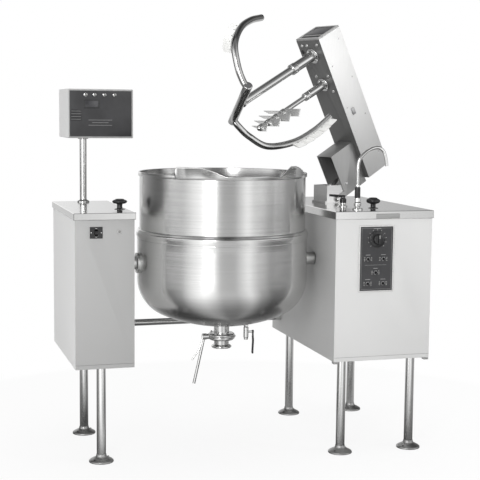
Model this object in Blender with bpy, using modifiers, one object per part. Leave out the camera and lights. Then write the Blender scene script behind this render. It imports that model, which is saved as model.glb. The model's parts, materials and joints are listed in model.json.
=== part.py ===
"""Tilting steam jacketed kettle between two consoles, with a lifting twin-shaft mixer bridge.

Metres, +Z up. The camera side is -Y and the right console is at +X. Every piece is placed
from the kettle's own axis, and the whole model stands centred on the frame's origin.
"""
import math

import bmesh
import bpy
from mathutils import Vector

# Kettle, 60 gallon size
BOWL_BORE = 0.749
BOWL_WALL = 0.003
RIM_Z = 1.285
RIM_BAND_HEIGHT = 0.018
RIM_BAND_PROUD = 0.006
BOWL_BOTTOM_Z = 0.632
BOWL_KNUCKLE = 0.165
BOWL_STRAIGHT_Z = 0.830
STEAM_SPACE = 0.007
JACKET_WALL = 0.0035
JACKET_RADIUS = BOWL_BORE / 2 + BOWL_WALL + STEAM_SPACE + JACKET_WALL
JACKET_TOP_Z = 0.984
STEP_RING_TOP_Z = 1.028
JACKET_BOTTOM_Z = 0.582
JACKET_KNUCKLE = BOWL_KNUCKLE + BOWL_WALL + STEAM_SPACE
JACKET_STRAIGHT_Z = 0.800
GAP = 0.0003
KETTLE_STEPS = 36

# Pouring lip
LIP_HALF_ANGLE = math.radians(47)
LIP_NOTCH_ANGLE = math.radians(19)
LIP_NOSE = 0.0737
LIP_WING_RISE = 0.034
LIP_SHEET = 0.0025
LIP_FLARE = 0.004
LIP_NOSE_REACH = BOWL_BORE / 2 + BOWL_WALL + RIM_BAND_PROUD + GAP + LIP_SHEET + LIP_NOSE

# The consoles' inner faces, beside the jacket, from which their pieces are placed.
LEFT_SPACE = 0.055
RIGHT_SPACE = 0.056
LEFT_FACE = -(JACKET_RADIUS + LEFT_SPACE)
RIGHT_FACE = JACKET_RADIUS + RIGHT_SPACE

# Trunnions and tilt drive
TILT_Z = 0.878
TRUNNION_RADIUS = 0.0295
TRUNNION_BOSS_RADIUS = 0.046
TRUNNION_BOSS_THICK = 0.012
LEFT_TRUNNION_INSET = 0.197
RIGHT_TRUNNION_INSET = 0.116
WHEEL_TEETH = 40
WHEEL_MODULE = 0.005
WHEEL_WIDTH = 0.018
WHEEL_INSET = 0.087
LEFT_WHEEL_X = LEFT_FACE - WHEEL_INSET
WORM_LENGTH = 0.135
WORM_FRONT = 0.050
WHEEL_SPAN = math.radians(130)
WORM_PITCH_RADIUS = 0.022
WHEEL_ADDENDUM = 0.0042
WHEEL_DEDENDUM = 0.0056
WHEEL_HUB_RADIUS = 0.048
BEARING_WIDTH = 0.036
WORM_TURNS = 3
MESH_PLAY = 0.0010
TILT_MOTOR_LENGTH = 0.150
TILT_MOTOR_RADIUS = 0.043
GEARBOX_LENGTH = 0.052
GEARBOX_RADIUS = 0.049
MOTOR_BRACKET = (0.010, 0.040)
MOTOR_BRACKET_HALF = 0.030

# Consoles
LEFT_WIDTH = 0.260
RIGHT_WIDTH = 0.467
LEFT_X = (LEFT_FACE - LEFT_WIDTH, LEFT_FACE)
LEFT_Y = (-0.177, 0.505)
RIGHT_X = (RIGHT_FACE, RIGHT_FACE + RIGHT_WIDTH)
RIGHT_Y = (-0.291, 0.602)
CONSOLE_BOTTOM_Z = 0.440
CONSOLE_TOP_Z = 1.120
LEFT_LID_HEIGHT = 0.030
RIGHT_LID_HEIGHT = 0.036
LID_OVERHANG = 0.005
SHEET = 0.0025

# Legs and feet
LEG_RADIUS = 0.0205
FOOT_RADIUS = 0.055
FOOT_HEIGHT = 0.018
LEFT_LEG_X = LEFT_FACE - 0.132
LEFT_LEG_Y = (-0.082, 0.405)
RIGHT_LEG_X = (RIGHT_FACE + 0.068, RIGHT_FACE + 0.409)
RIGHT_LEG_Y = (-0.215, 0.518)
CROSS_TUBE_RADIUS = 0.0165
CROSS_TUBE_Y = 0.478
CROSS_TUBE_Z = 0.518

# Mixer bridge, measured from its hinge with the arm lowered
HEADING = math.radians(21.8)
LIFT_ANGLE = math.radians(62.1)
HINGE_INSET = 0.17623
BRIDGE_REACH = (RIGHT_FACE + HINGE_INSET) / math.cos(HEADING)
HINGE_Z = 1.138
UNDERSIDE_RISE = 0.207
ARM_WIDTH = 0.162
ARM_HEIGHT = 0.146
ARM_TIP = BRIDGE_REACH + 0.089
ARM_TAIL = 0.004
ARM_SHEET = 0.003
CAP_THICK = 0.007
CAP_RIM = 0.012
CAP_RECESS = 0.003
SHAFT_SPACING = 0.152
SECOND_SHAFT_REACH = BRIDGE_REACH - SHAFT_SPACING
HOOD_FRONT = 0.204
HOOD_BACK = -0.016
HOOD_DEPTH = 0.154
HOOD_SHEET = 0.003

# Agitators
MAIN_SHAFT_RADIUS = 0.019
MAIN_SLEEVE_RADIUS = 0.024
MAIN_SLEEVE_LENGTH = 0.125
SECOND_SHAFT_RADIUS = 0.012
SECOND_SLEEVE_RADIUS = 0.0195
SECOND_SLEEVE_LENGTH = 0.110
BAR_DEPTH = 0.500
BAR_HALF_LENGTH = 0.147
BAR_RADIUS = 0.0205
BAR_ANGLE = math.radians(140.6)
ARM_TUBE_RADIUS = 0.0160
# One arm of the anchor from the bar's end to its tip: radius, angle and depth.
ANCHOR_PATH = (
    (0.128, 140.6, 0.500), (0.145, 125, 0.497), (0.190, 109, 0.478), (0.262, 96, 0.425),
    (0.296, 84, 0.320), (0.298, 75, 0.215), (0.285, 66, 0.120),
)
# The scrapers stand out from the arm tubes, slanted back, one low and one high.
SCRAPER_REACH = 0.062
SCRAPER_SLANT = math.radians(65)
SCRAPER_THICK = 0.010
SCRAPER_EDGE = 0.004
SCRAPER_STAND = 0.0019
SCRAPER_DEPTHS = ((0.290, 0.455), (0.135, 0.335))
PADDLE_TIER_SPACING = 0.050
PADDLE_BOTTOM_DEPTH = 0.440
PADDLE_LENGTHS = (0.046, 0.084, 0.105, 0.122)
PADDLE_BALL_DEPTH = 0.449
PADDLE_BALL_RADIUS = 0.0125
PADDLE_WIDTH = 0.036
PADDLE_THICK = 0.003
PADDLE_PITCH = math.radians(42)

# Pieces on the consoles
PANEL_X = (RIGHT_FACE + 0.116, RIGHT_FACE + 0.273)
PANEL_Z = (0.761, 1.050)
PANEL_THICK = 0.004
PANEL_RIM = 0.012
DIAL_PLACE = (RIGHT_FACE + 0.197, 0.994)
DIAL_RADIUS = 0.0375
TOGGLE_BALL = 0.0042
TOGGLE_PLAY = 0.0007
TOGGLE_TILT = math.radians(15)
TOGGLE_X = (RIGHT_FACE + 0.154, RIGHT_FACE + 0.191, RIGHT_FACE + 0.228)
TOGGLE_PLACES = (
    (TOGGLE_X[0], 0.904), (TOGGLE_X[2], 0.904), (TOGGLE_X[1], 0.843),
    (TOGGLE_X[0], 0.793), (TOGGLE_X[2], 0.793),
)
RIGHT_KNOB_PLACE = (RIGHT_FACE + 0.243, -0.129)
LEFT_KNOB_PLACE = (LEFT_FACE - 0.029, 0.017)
LEVER_PLACE = (RIGHT_FACE + 0.135, -0.024)
FAUCET_PLACE = (RIGHT_FACE + 0.138, -0.194)
SPOUT_RADIUS = 0.0075
SPOUT_PATH = (
    (0, 0, 0), (0, 0, 0.085), (0.010, 0, 0.128), (0.050, 0, 0.165), (0.094, 0, 0.178), (0.122, 0, 0.163),
    (0.136, 0, 0.125), (0.140, 0, 0.094),
)
POLE_PLACE = (LEFT_FACE - 0.125, 0.440)
POLE_RADIUS = 0.0165
METER_X = (LEFT_FACE - 0.217, LEFT_FACE + 0.088)
METER_Y = (0.290, 0.590)
METER_Z = (1.428, 1.655)
METER_BUTTON_X = (LEFT_FACE - 0.135, LEFT_FACE - 0.093, LEFT_FACE - 0.047, LEFT_FACE)
METER_BUTTON_Z = 1.628
METER_BUTTON_RADIUS = 0.0052
METER_DISPLAY_X = (LEFT_FACE - 0.139, LEFT_FACE - 0.075)
METER_DISPLAY_Z = (1.570, 1.602)
SWITCH_X = (LEFT_FACE - 0.196, LEFT_FACE - 0.140)
SWITCH_Z = (1.011, 1.061)
SWITCH_WIDTH = 0.016

# Draw-off and drain
DRAW_NECK_RADIUS = 0.0355
DRAW_BORE = 0.024
DRAW_BODY_RADIUS = 0.061
DRAW_BODY_Z = (0.512, 0.543)
DRAW_OUTLET_Z = 0.474
DRAW_HANDLE_X = -0.082
DRAW_HANDLE_RADIUS = 0.00675
DRAW_HANDLE_LENGTH = 0.222
DRAW_SPINDLE = 0.0045
DRAW_DISC_PLAY = 0.0009
# The latch lever beside the handle, from the hub: X, Y and Z.
DRAW_LATCH_PATH = (
    (-0.006, -0.002, 0.008), (-0.018, -0.004, -0.040), (-0.028, -0.006, -0.062), (-0.060, -0.008, -0.105),
)
DRAW_LATCH_RADIUS = 0.0032
DRAIN_X = 0.118
DRAIN_RADIUS = 0.012
DRAIN_LEVER_Z = 0.541
DRAIN_LEVER_LENGTH = 0.104

# Hinge, lift cylinder and pedestal, in the plane that the arm swings in
PEDESTAL_FRONT = BRIDGE_REACH - 0.068
PEDESTAL_BACK = BRIDGE_REACH + 0.044
PEDESTAL_WIDTH = 0.096
PEDESTAL_TOP_Z = 1.205
PEDESTAL_BASE = 0.009
PEDESTAL_SHEET = 0.003
HINGE_PIN_RADIUS = 0.008
EAR_RADIUS = 0.0145
LIFT_FOOT = (BRIDGE_REACH - 0.027, 1.149)
LIFT_HEAD = (0.085, 0.150)
LIFT_BARREL_RADIUS = 0.011
LIFT_ROD_RADIUS = 0.005
LIFT_BARREL = 0.105
LIFT_ROD_START = 0.048
LIFT_PIN_RADIUS = 0.003
LIFT_LUG_RADIUS = 0.0045
LIFT_HEAD_RADIUS = 0.0115
LIFT_HEAD_BORE = 0.0079
EAR_PLAY = 0.0012

# Belt drive inside the arm
PULLEY_MAIN = 0.055
PULLEY_SECOND = 0.032
PULLEY_RISE = 0.030
PULLEY_WIDTH = 0.016
BELT_WIDTH = 0.014
BELT_THICK = 0.003
PULLEY_RIM = 0.004
PULLEY_RIM_THICK = 0.0018
MOTOR_RADIUS = 0.050

bowl_radius = BOWL_BORE / 2
bowl_outer = bowl_radius + BOWL_WALL
worm_distance = WHEEL_TEETH * WHEEL_MODULE / 2 + WORM_PITCH_RADIUS


def raised(along, rise):
    """Distance from the kettle's axis and height of a point of the raised arm."""
    away = BRIDGE_REACH - along * math.cos(LIFT_ANGLE) + rise * math.sin(LIFT_ANGLE)
    return away, HINGE_Z + along * math.sin(LIFT_ANGLE) + rise * math.cos(LIFT_ANGLE)


tail_away = raised(ARM_TAIL, UNDERSIDE_RISE + ARM_HEIGHT)[0]
tail_right = tail_away * math.cos(HEADING) + ARM_WIDTH / 2 * math.sin(HEADING)
far_right = max(tail_right, RIGHT_X[1] + LID_OVERHANG)
far_left = LEFT_X[0] - LID_OVERHANG
far_back = RIGHT_Y[1] + LID_OVERHANG
KETTLE_X = -(far_right + far_left) / 2
KETTLE_Y = -(far_back - LIP_NOSE_REACH) / 2

for leftover in list(bpy.data.objects):
    bpy.data.objects.remove(leftover, do_unlink=True)

parts = bpy.data.collections.new("steam_jacketed_kettle")
cutters = bpy.data.collections.new("cutters")
bpy.context.scene.collection.children.link(parts)
bpy.context.scene.collection.children.link(cutters)

LOOKS = {
    "stainless": ((0.62, 0.62, 0.61), 0.28, 1.0),
    "polished": ((0.74, 0.74, 0.73), 0.12, 1.0),
    "chrome": ((0.80, 0.80, 0.80), 0.06, 1.0),
    "steel": ((0.36, 0.36, 0.37), 0.45, 1.0),
    "black": ((0.015, 0.015, 0.016), 0.35, 0.0),
    "charcoal": ((0.06, 0.06, 0.065), 0.45, 0.0),
    "nylon": ((0.86, 0.86, 0.84), 0.42, 0.0),
    "rubber": ((0.03, 0.03, 0.03), 0.7, 0.0),
    "motor": ((0.20, 0.21, 0.23), 0.5, 0.2),
}


def material(name, look):
    colour, roughness, metallic = LOOKS[look]
    made = bpy.data.materials.new(name)
    made.use_nodes = True
    shader = made.node_tree.nodes["Principled BSDF"]
    shader.inputs["Base Color"].default_value = (*colour, 1.0)
    shader.inputs["Roughness"].default_value = roughness
    shader.inputs["Metallic"].default_value = metallic
    return made


def empty(name, parent, location, rotation=(0, 0, 0)):
    made = bpy.data.objects.new(name, None)
    cutters.objects.link(made)
    made.parent = parent
    made.location = location
    made.rotation_euler = rotation
    return made


def place(name, data, look, parent, location, rotation):
    """Put a piece in the model, or a cutter, which has no look, in the cutters."""
    made = bpy.data.objects.new(name, data)
    made.parent = parent
    made.location = location
    made.rotation_euler = rotation
    if look:
        parts.objects.link(made)
        data.materials.append(material(name, look))
    else:
        cutters.objects.link(made)
        made.hide_render = True
        made.display_type = "WIRE"
    return made


def from_bmesh(name, shape, look, parent, location, rotation, round_piece=False):
    data = bpy.data.meshes.new(name)
    shape.to_mesh(data)
    shape.free()
    if round_piece:
        data.shade_smooth()
        data.set_sharp_from_angle(angle=math.radians(35))
    return place(name, data, look, parent, location, rotation)


def box(name, low, high, look=None, parent=None, rotation=(0, 0, 0), bevel=0.0):
    """A box from its low corner to its high corner, in its parent's frame."""
    size = [b - a for a, b in zip(low, high)]
    centre = [(a + b) / 2 for a, b in zip(low, high)]
    shape = bmesh.new()
    bmesh.ops.create_cube(shape, size=1.0)
    bmesh.ops.scale(shape, vec=size, verts=shape.verts)
    made = from_bmesh(name, shape, look, parent, centre, rotation)
    if bevel:
        edge = made.modifiers.new("edges", "BEVEL")
        edge.width = bevel
        edge.segments = 1
    return made


def cylinder(name, radius, length, centre, look=None, parent=None, axis="Z", sides=24):
    shape = bmesh.new()
    bmesh.ops.create_cone(
        shape, cap_ends=True, segments=sides, radius1=radius, radius2=radius, depth=length
    )
    turn = {"X": (0, math.pi / 2, 0), "Y": (-math.pi / 2, 0, 0), "Z": (0, 0, 0)}[axis]
    return from_bmesh(name, shape, look, parent, centre, turn, round_piece=True)


def turned(name, profile, look=None, parent=None, location=(0, 0, 0), rotation=(0, 0, 0), steps=32,
           ring=False):
    """A profile of (radius, height) points, outer side first from the top, turned about Z."""
    data = bpy.data.meshes.new(name)
    edges = [(i, i + 1) for i in range(len(profile) - 1)]
    if ring:
        edges.append((len(profile) - 1, 0))
    data.from_pydata([(r, 0, z) for r, z in profile], edges, [])
    made = place(name, data, look, parent, location, rotation)
    spin = made.modifiers.new("turn", "SCREW")
    spin.steps = spin.render_steps = steps
    spin.use_merge_vertices = True
    spin.merge_threshold = 0.00001
    spin.use_smooth_shade = True
    weld = made.modifiers.new("weld", "WELD")
    weld.merge_threshold = 0.00001
    return made


def pipe_curve(name, points, radius, look, parent, resolution=3, sides=1, straight=False):
    data = bpy.data.curves.new(name, "CURVE")
    data.dimensions = "3D"
    data.bevel_depth = radius
    data.bevel_resolution = sides
    data.use_fill_caps = True
    if straight:
        spline = data.splines.new("POLY")
        spline.points.add(len(points) - 1)
        for point, spot in zip(spline.points, points):
            point.co = (*spot, 1)
    else:
        data.resolution_u = data.render_resolution_u = resolution
        spline = data.splines.new("BEZIER")
        spline.bezier_points.add(len(points) - 1)
        for point, spot in zip(spline.bezier_points, points):
            point.co = spot
            point.handle_left_type = point.handle_right_type = "AUTO"
    return place(name, data, look, parent, (0, 0, 0), (0, 0, 0))


def pipe(name, points, radius, look, parent, **shape):
    """A tube along a smooth line, as a mesh that can be cut and joined."""
    guide = pipe_curve(name + "_line", points, radius, None, parent, **shape)
    bpy.context.view_layer.update()
    evaluated = guide.evaluated_get(bpy.context.evaluated_depsgraph_get())
    data = bpy.data.meshes.new_from_object(evaluated)
    place_matrix = guide.matrix_local.copy()
    shape_mesh = bmesh.new()
    shape_mesh.from_mesh(data)
    bmesh.ops.remove_doubles(shape_mesh, verts=shape_mesh.verts, dist=0.00001)
    bpy.data.meshes.remove(data)
    bpy.data.objects.remove(guide, do_unlink=True)
    made = from_bmesh(name, shape_mesh, look, parent, (0, 0, 0), (0, 0, 0), round_piece=True)
    made.matrix_local = place_matrix
    return made


def plate(name, outlines, thickness, look, parent, location=(0, 0, 0), rotation=(0, 0, 0)):
    """A flat outline, with holes, thickened both ways from its plane."""
    data = bpy.data.curves.new(name, "CURVE")
    data.dimensions = "2D"
    data.fill_mode = "BOTH"
    data.extrude = thickness / 2
    for outline in outlines:
        spline = data.splines.new("POLY")
        spline.points.add(len(outline) - 1)
        spline.use_cyclic_u = True
        for point, (x, y) in zip(spline.points, outline):
            point.co = (x, y, 0, 1)
    return place(name, data, look, parent, location, rotation)


def circle(radius, sides=24, centre=(0, 0)):
    return [
        (centre[0] + radius * math.cos(i * math.tau / sides),
         centre[1] + radius * math.sin(i * math.tau / sides))
        for i in range(sides)
    ]


def boolean(target, tool, operation):
    change = target.modifiers.new(operation.lower(), "BOOLEAN")
    change.operation = operation
    change.object = tool
    return target


def cut(target, *tools):
    for tool in tools:
        boolean(target, tool, "DIFFERENCE")
    return target


def join(target, *tools):
    for tool in tools:
        boolean(target, tool, "UNION")
    return target


def dished(radius, straight_z, knuckle, bottom_z, hole, count=4):
    """Wall-to-hole points of a dished bottom: a knuckle arc, then a shallow crown arc."""
    depth = straight_z - bottom_z
    crown = ((radius - knuckle) ** 2 + depth ** 2 - knuckle ** 2) / (2 * (depth - knuckle))
    crown_z = bottom_z + crown
    meet = math.atan2(crown_z - straight_z, radius - knuckle)
    points = []
    for i in range(count + 1):
        angle = meet * i / count
        points.append((radius - knuckle + knuckle * math.cos(angle),
                       straight_z - knuckle * math.sin(angle)))
    start = math.asin((radius - knuckle) / (crown - knuckle))
    end = math.asin(hole / crown)
    for i in (1, 2):
        angle = start + (end - start) * i / 2
        points.append((crown * math.sin(angle), crown_z - crown * math.cos(angle)))
    return points


axis = empty("kettle_axis", None, (KETTLE_X, KETTLE_Y, 0))
tilt = empty("tilt_axis", axis, (0, 0, TILT_Z))


def kettle():
    """The bowl, its steam jacket and the trunnions, which tilt together."""
    up = -TILT_Z
    band = bowl_outer + RIM_BAND_PROUD
    outside = [(band, RIM_Z), (band, RIM_Z - RIM_BAND_HEIGHT), (bowl_outer, RIM_Z - RIM_BAND_HEIGHT)]
    outside += dished(bowl_outer, BOWL_STRAIGHT_Z, BOWL_KNUCKLE + BOWL_WALL,
                      BOWL_BOTTOM_Z - BOWL_WALL, DRAW_BORE)
    inside = dished(bowl_radius, BOWL_STRAIGHT_Z, BOWL_KNUCKLE, BOWL_BOTTOM_Z, DRAW_BORE)[::-1]
    inside.append((bowl_radius, RIM_Z))
    turned("kettle_bowl", outside + inside, "stainless", tilt, (0, 0, up), steps=KETTLE_STEPS, ring=True)

    seat = bowl_outer + GAP
    proud = JACKET_RADIUS + 0.004
    neck_hole = DRAW_NECK_RADIUS + GAP
    outside = [(seat, STEP_RING_TOP_Z), (JACKET_RADIUS - 0.002, STEP_RING_TOP_Z - 0.006),
               (proud, STEP_RING_TOP_Z - 0.014), (proud, JACKET_TOP_Z + 0.008),
               (JACKET_RADIUS, JACKET_TOP_Z)]
    outside += dished(JACKET_RADIUS, JACKET_STRAIGHT_Z, JACKET_KNUCKLE, JACKET_BOTTOM_Z, neck_hole)
    inner = JACKET_RADIUS - JACKET_WALL
    inside = dished(inner, JACKET_STRAIGHT_Z, JACKET_KNUCKLE - JACKET_WALL,
                    JACKET_BOTTOM_Z + JACKET_WALL, neck_hole)[::-1]
    inside += [(inner, STEP_RING_TOP_Z - 0.022), (seat, STEP_RING_TOP_Z - 0.016)]
    turned("kettle_jacket", outside + inside, "stainless", tilt, (0, 0, up), steps=KETTLE_STEPS, ring=True)

    for side, name, reach in (
        (1, "right_trunnion", RIGHT_FACE + RIGHT_TRUNNION_INSET),
        (-1, "left_trunnion", LEFT_TRUNNION_INSET - LEFT_FACE),
    ):
        foot = JACKET_RADIUS - 0.012
        face = JACKET_RADIUS + TRUNNION_BOSS_THICK
        boss = cylinder(name, TRUNNION_BOSS_RADIUS, face - foot, (side * (face + foot) / 2, 0, 0),
                        "steel", tilt, axis="X")
        stub = cylinder(name + "_stub", TRUNNION_RADIUS, reach - foot - 0.004,
                        (side * (reach + foot + 0.004) / 2, 0, 0), None, tilt, axis="X")
        shell = cylinder(name + "_seat", JACKET_RADIUS + GAP, 4 * TRUNNION_BOSS_RADIUS, (0, 0, 0), None, tilt,
                         sides=KETTLE_STEPS)
        cut(join(boss, stub), shell)


def pouring_lip():
    """A spout of bent sheet on the front of the rim: two raised wings and a low middle."""
    sheet = bmesh.new()
    rows = []
    count = 20
    band = bowl_outer + RIM_BAND_PROUD + GAP + LIP_SHEET
    for i in range(count + 1):
        turn = -LIP_HALF_ANGLE + 2 * LIP_HALF_ANGLE * i / count
        inward = abs(turn) / LIP_HALF_ANGLE
        wing = 0.0
        notch = LIP_NOTCH_ANGLE / LIP_HALF_ANGLE
        if inward > notch:
            share = (inward - notch) / (1 - notch)
            wing = math.sin(math.pi * min(1.0, share * 0.62 + 0.12)) ** 0.8
            if share > 0.8:
                wing *= (1 - share) / 0.2 * 0.75 + 0.25
        nose = (LIP_NOSE_REACH - band) * max(0.0, math.cos(turn * math.pi / 2 / LIP_HALF_ANGLE)) ** 1.2
        row = []
        for k, (out, rise) in enumerate(((0.0, 0.0), (0.45, 0.35), (1.0, 1.0))):
            reach = band + LIP_FLARE + max(nose - LIP_FLARE, 0.010) * out
            height = RIM_Z - 0.014 + (0.014 + 0.006 + LIP_WING_RISE * wing) * rise
            row.append(sheet.verts.new((reach * math.sin(turn), -reach * math.cos(turn), height)))
        base = sheet.verts.new((band * math.sin(turn), -band * math.cos(turn), RIM_Z - RIM_BAND_HEIGHT))
        rows.append([base] + row)
    for here, there in zip(rows, rows[1:]):
        for k in range(3):
            sheet.faces.new((here[k], there[k], there[k + 1], here[k + 1]))
    made = from_bmesh("pouring_lip", sheet, "polished", tilt, (0, 0, -TILT_Z), (0, 0, 0), True)
    thick = made.modifiers.new("sheet", "SOLIDIFY")
    thick.thickness = LIP_SHEET
    thick.offset = -1


def under(points, radius):
    """Height of a turned underside at a radius, from its wall-to-hole points."""
    for outer, inner in zip(points, points[1:]):
        if inner[0] <= radius <= outer[0]:
            share = (radius - inner[0]) / (outer[0] - inner[0])
            return inner[1] + share * (outer[1] - inner[1])


def draw_off():
    """The draw-off valve under the bowl, with its handle, and the jacket's drain cock."""
    low, high = DRAW_BODY_Z
    bore = DRAW_BORE
    bowl = dished(bowl_outer, BOWL_STRAIGHT_Z, BOWL_KNUCKLE + BOWL_WALL, BOWL_BOTTOM_Z - BOWL_WALL, bore)
    neck = [(DRAW_NECK_RADIUS, under(bowl, DRAW_NECK_RADIUS) - GAP), (DRAW_NECK_RADIUS, high + GAP),
            (bore, high + GAP), (bore, bowl[-1][1] - GAP)]
    turned("draw_off_neck", neck, "stainless", tilt, (0, 0, -TILT_Z), steps=16, ring=True)
    body = [(DRAW_BODY_RADIUS - 0.006, high), (DRAW_BODY_RADIUS, high - 0.006),
            (DRAW_BODY_RADIUS, low + 0.006), (DRAW_BODY_RADIUS - 0.006, low), (0.0345, low - 0.004),
            (0.0345, DRAW_OUTLET_Z + 0.016), (0.044, DRAW_OUTLET_Z + 0.010), (0.044, DRAW_OUTLET_Z),
            (bore, DRAW_OUTLET_Z), (bore, high)]
    valve = turned("draw_off_valve", body, "stainless", tilt, (0, 0, -TILT_Z), steps=16, ring=True)
    pivot_z = (low + high) / 2 - TILT_Z
    hub_x = DRAW_HANDLE_X
    boss_end = hub_x + 0.0095
    boss = cylinder("draw_off_boss", 0.0125, -0.050 - boss_end, ((boss_end - 0.050) / 2, 0, pivot_z), None,
                    tilt, axis="X", sides=14)
    spindle_hole = cylinder("draw_off_spindle_hole", DRAW_SPINDLE + GAP, 0.080, (-0.055, 0, pivot_z), None,
                            tilt, axis="X", sides=12)
    cut(join(valve, boss), spindle_hole)

    hub = cylinder("draw_off_handle", 0.0145, 0.018, (hub_x, 0, pivot_z), "stainless", tilt, axis="X",
                   sides=16)
    lean = math.radians(12.5)
    start = Vector((hub_x, 0, pivot_z))
    tip = start + DRAW_HANDLE_LENGTH * Vector((-math.sin(lean), 0, -math.cos(lean)))
    rod = pipe("draw_off_rod", [start, (start + tip) / 2, tip], DRAW_HANDLE_RADIUS, None, tilt, straight=True,
               sides=2)
    latch = [start + Vector(spot) for spot in DRAW_LATCH_PATH]
    spindle_end = bore - 0.004
    spindle = cylinder("draw_off_spindle", DRAW_SPINDLE, spindle_end - hub_x,
                       ((hub_x + spindle_end) / 2, 0, pivot_z), None, tilt, axis="X", sides=12)
    disc = cylinder("draw_off_disc", bore - DRAW_DISC_PLAY, 0.004, (0, 0, pivot_z), None, tilt, sides=20)
    join(hub, rod, pipe("draw_off_latch", latch, DRAW_LATCH_RADIUS, None, tilt, straight=True), spindle, disc)

    jacket = dished(JACKET_RADIUS, JACKET_STRAIGHT_Z, JACKET_KNUCKLE, JACKET_BOTTOM_Z, DRAW_NECK_RADIUS + GAP)
    stem = DRAIN_RADIUS * 0.55
    top_z = under(jacket, DRAIN_X - stem) - GAP
    cock = [(0.0, top_z), (stem, top_z), (stem, 0.566), (DRAIN_RADIUS, 0.562),
            (DRAIN_RADIUS, 0.516), (DRAIN_RADIUS * 0.8, 0.512), (0.0, 0.512)]
    drain = turned("drain_cock", cock, "chrome", tilt, (DRAIN_X, 0, -TILT_Z), steps=14)
    drop = DRAIN_LEVER_Z - TILT_Z
    lever_x = DRAIN_X + 0.033
    hub_thick = 0.007
    spindle_start, spindle_end = DRAIN_X + DRAIN_RADIUS / 2, lever_x - hub_thick / 2 - GAP
    join(drain, cylinder("drain_spindle", 0.005, spindle_end - spindle_start,
                         ((spindle_start + spindle_end) / 2, 0, drop), None, tilt, axis="X", sides=10))
    lever = cylinder("drain_lever", 0.0075, hub_thick, (lever_x, 0, drop), "black", tilt, axis="X", sides=12)
    bend = DRAIN_LEVER_LENGTH * 0.4
    join(lever, pipe("drain_grip", [(lever_x, 0, drop - 0.002), (lever_x + 0.002, 0, drop - bend),
                                    (lever_x, 0, drop - DRAIN_LEVER_LENGTH)], 0.00425, None, tilt,
                     straight=True))


def worm_wheel(x):
    """The wheel's sector, toothed only where the worm meets it between the tilt stops."""
    pitch_radius = WHEEL_TEETH * WHEEL_MODULE / 2
    pitch_angle = math.tau / WHEEL_TEETH
    lead = math.atan(WHEEL_MODULE / 2 / WORM_PITCH_RADIUS)
    middle, bottom = math.radians(225), math.radians(270)
    tip, root = pitch_radius + WHEEL_ADDENDUM, pitch_radius - WHEEL_DEDENDUM
    half = pitch_angle / 4 - MESH_PLAY / 2 / pitch_radius
    outline = []
    first = math.ceil((middle - WHEEL_SPAN / 2 - bottom) / pitch_angle - 0.5)
    last = math.floor((middle + WHEEL_SPAN / 2 - bottom) / pitch_angle - 0.5)
    flank = ((-1.5, root), (-0.45, tip), (0.45, tip), (1.5, root))
    for i in range(first, last + 1):
        centre = bottom + (i + 0.5) * pitch_angle
        outline += [(centre + shift * half, radius) for shift, radius in flank]
    outline += [(middle + math.radians(115 + 130 * i / 12), WHEEL_HUB_RADIUS) for i in range(13)]
    shape = bmesh.new()
    sides = []
    for end in (-1, 1):
        twist = end * WHEEL_WIDTH / 2 * math.tan(lead) / pitch_radius
        sides.append([shape.verts.new((end * WHEEL_WIDTH / 2, radius * math.cos(angle + twist),
                                       radius * math.sin(angle + twist))) for angle, radius in outline])
    count = len(outline)
    for i in range(count):
        j = (i + 1) % count
        shape.faces.new((sides[0][i], sides[0][j], sides[1][j], sides[1][i]))
    shape.faces.new(sides[0][::-1])
    shape.faces.new(sides[1])
    bmesh.ops.recalc_face_normals(shape, faces=shape.faces)
    wheel = from_bmesh("worm_wheel", shape, "steel", tilt, (x, 0, 0), (0, 0, 0))
    bore = cylinder("worm_wheel_bore", TRUNNION_RADIUS + GAP, 0.1, (x, 0, 0), None, tilt, axis="X")
    cut(wheel, bore)


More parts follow.
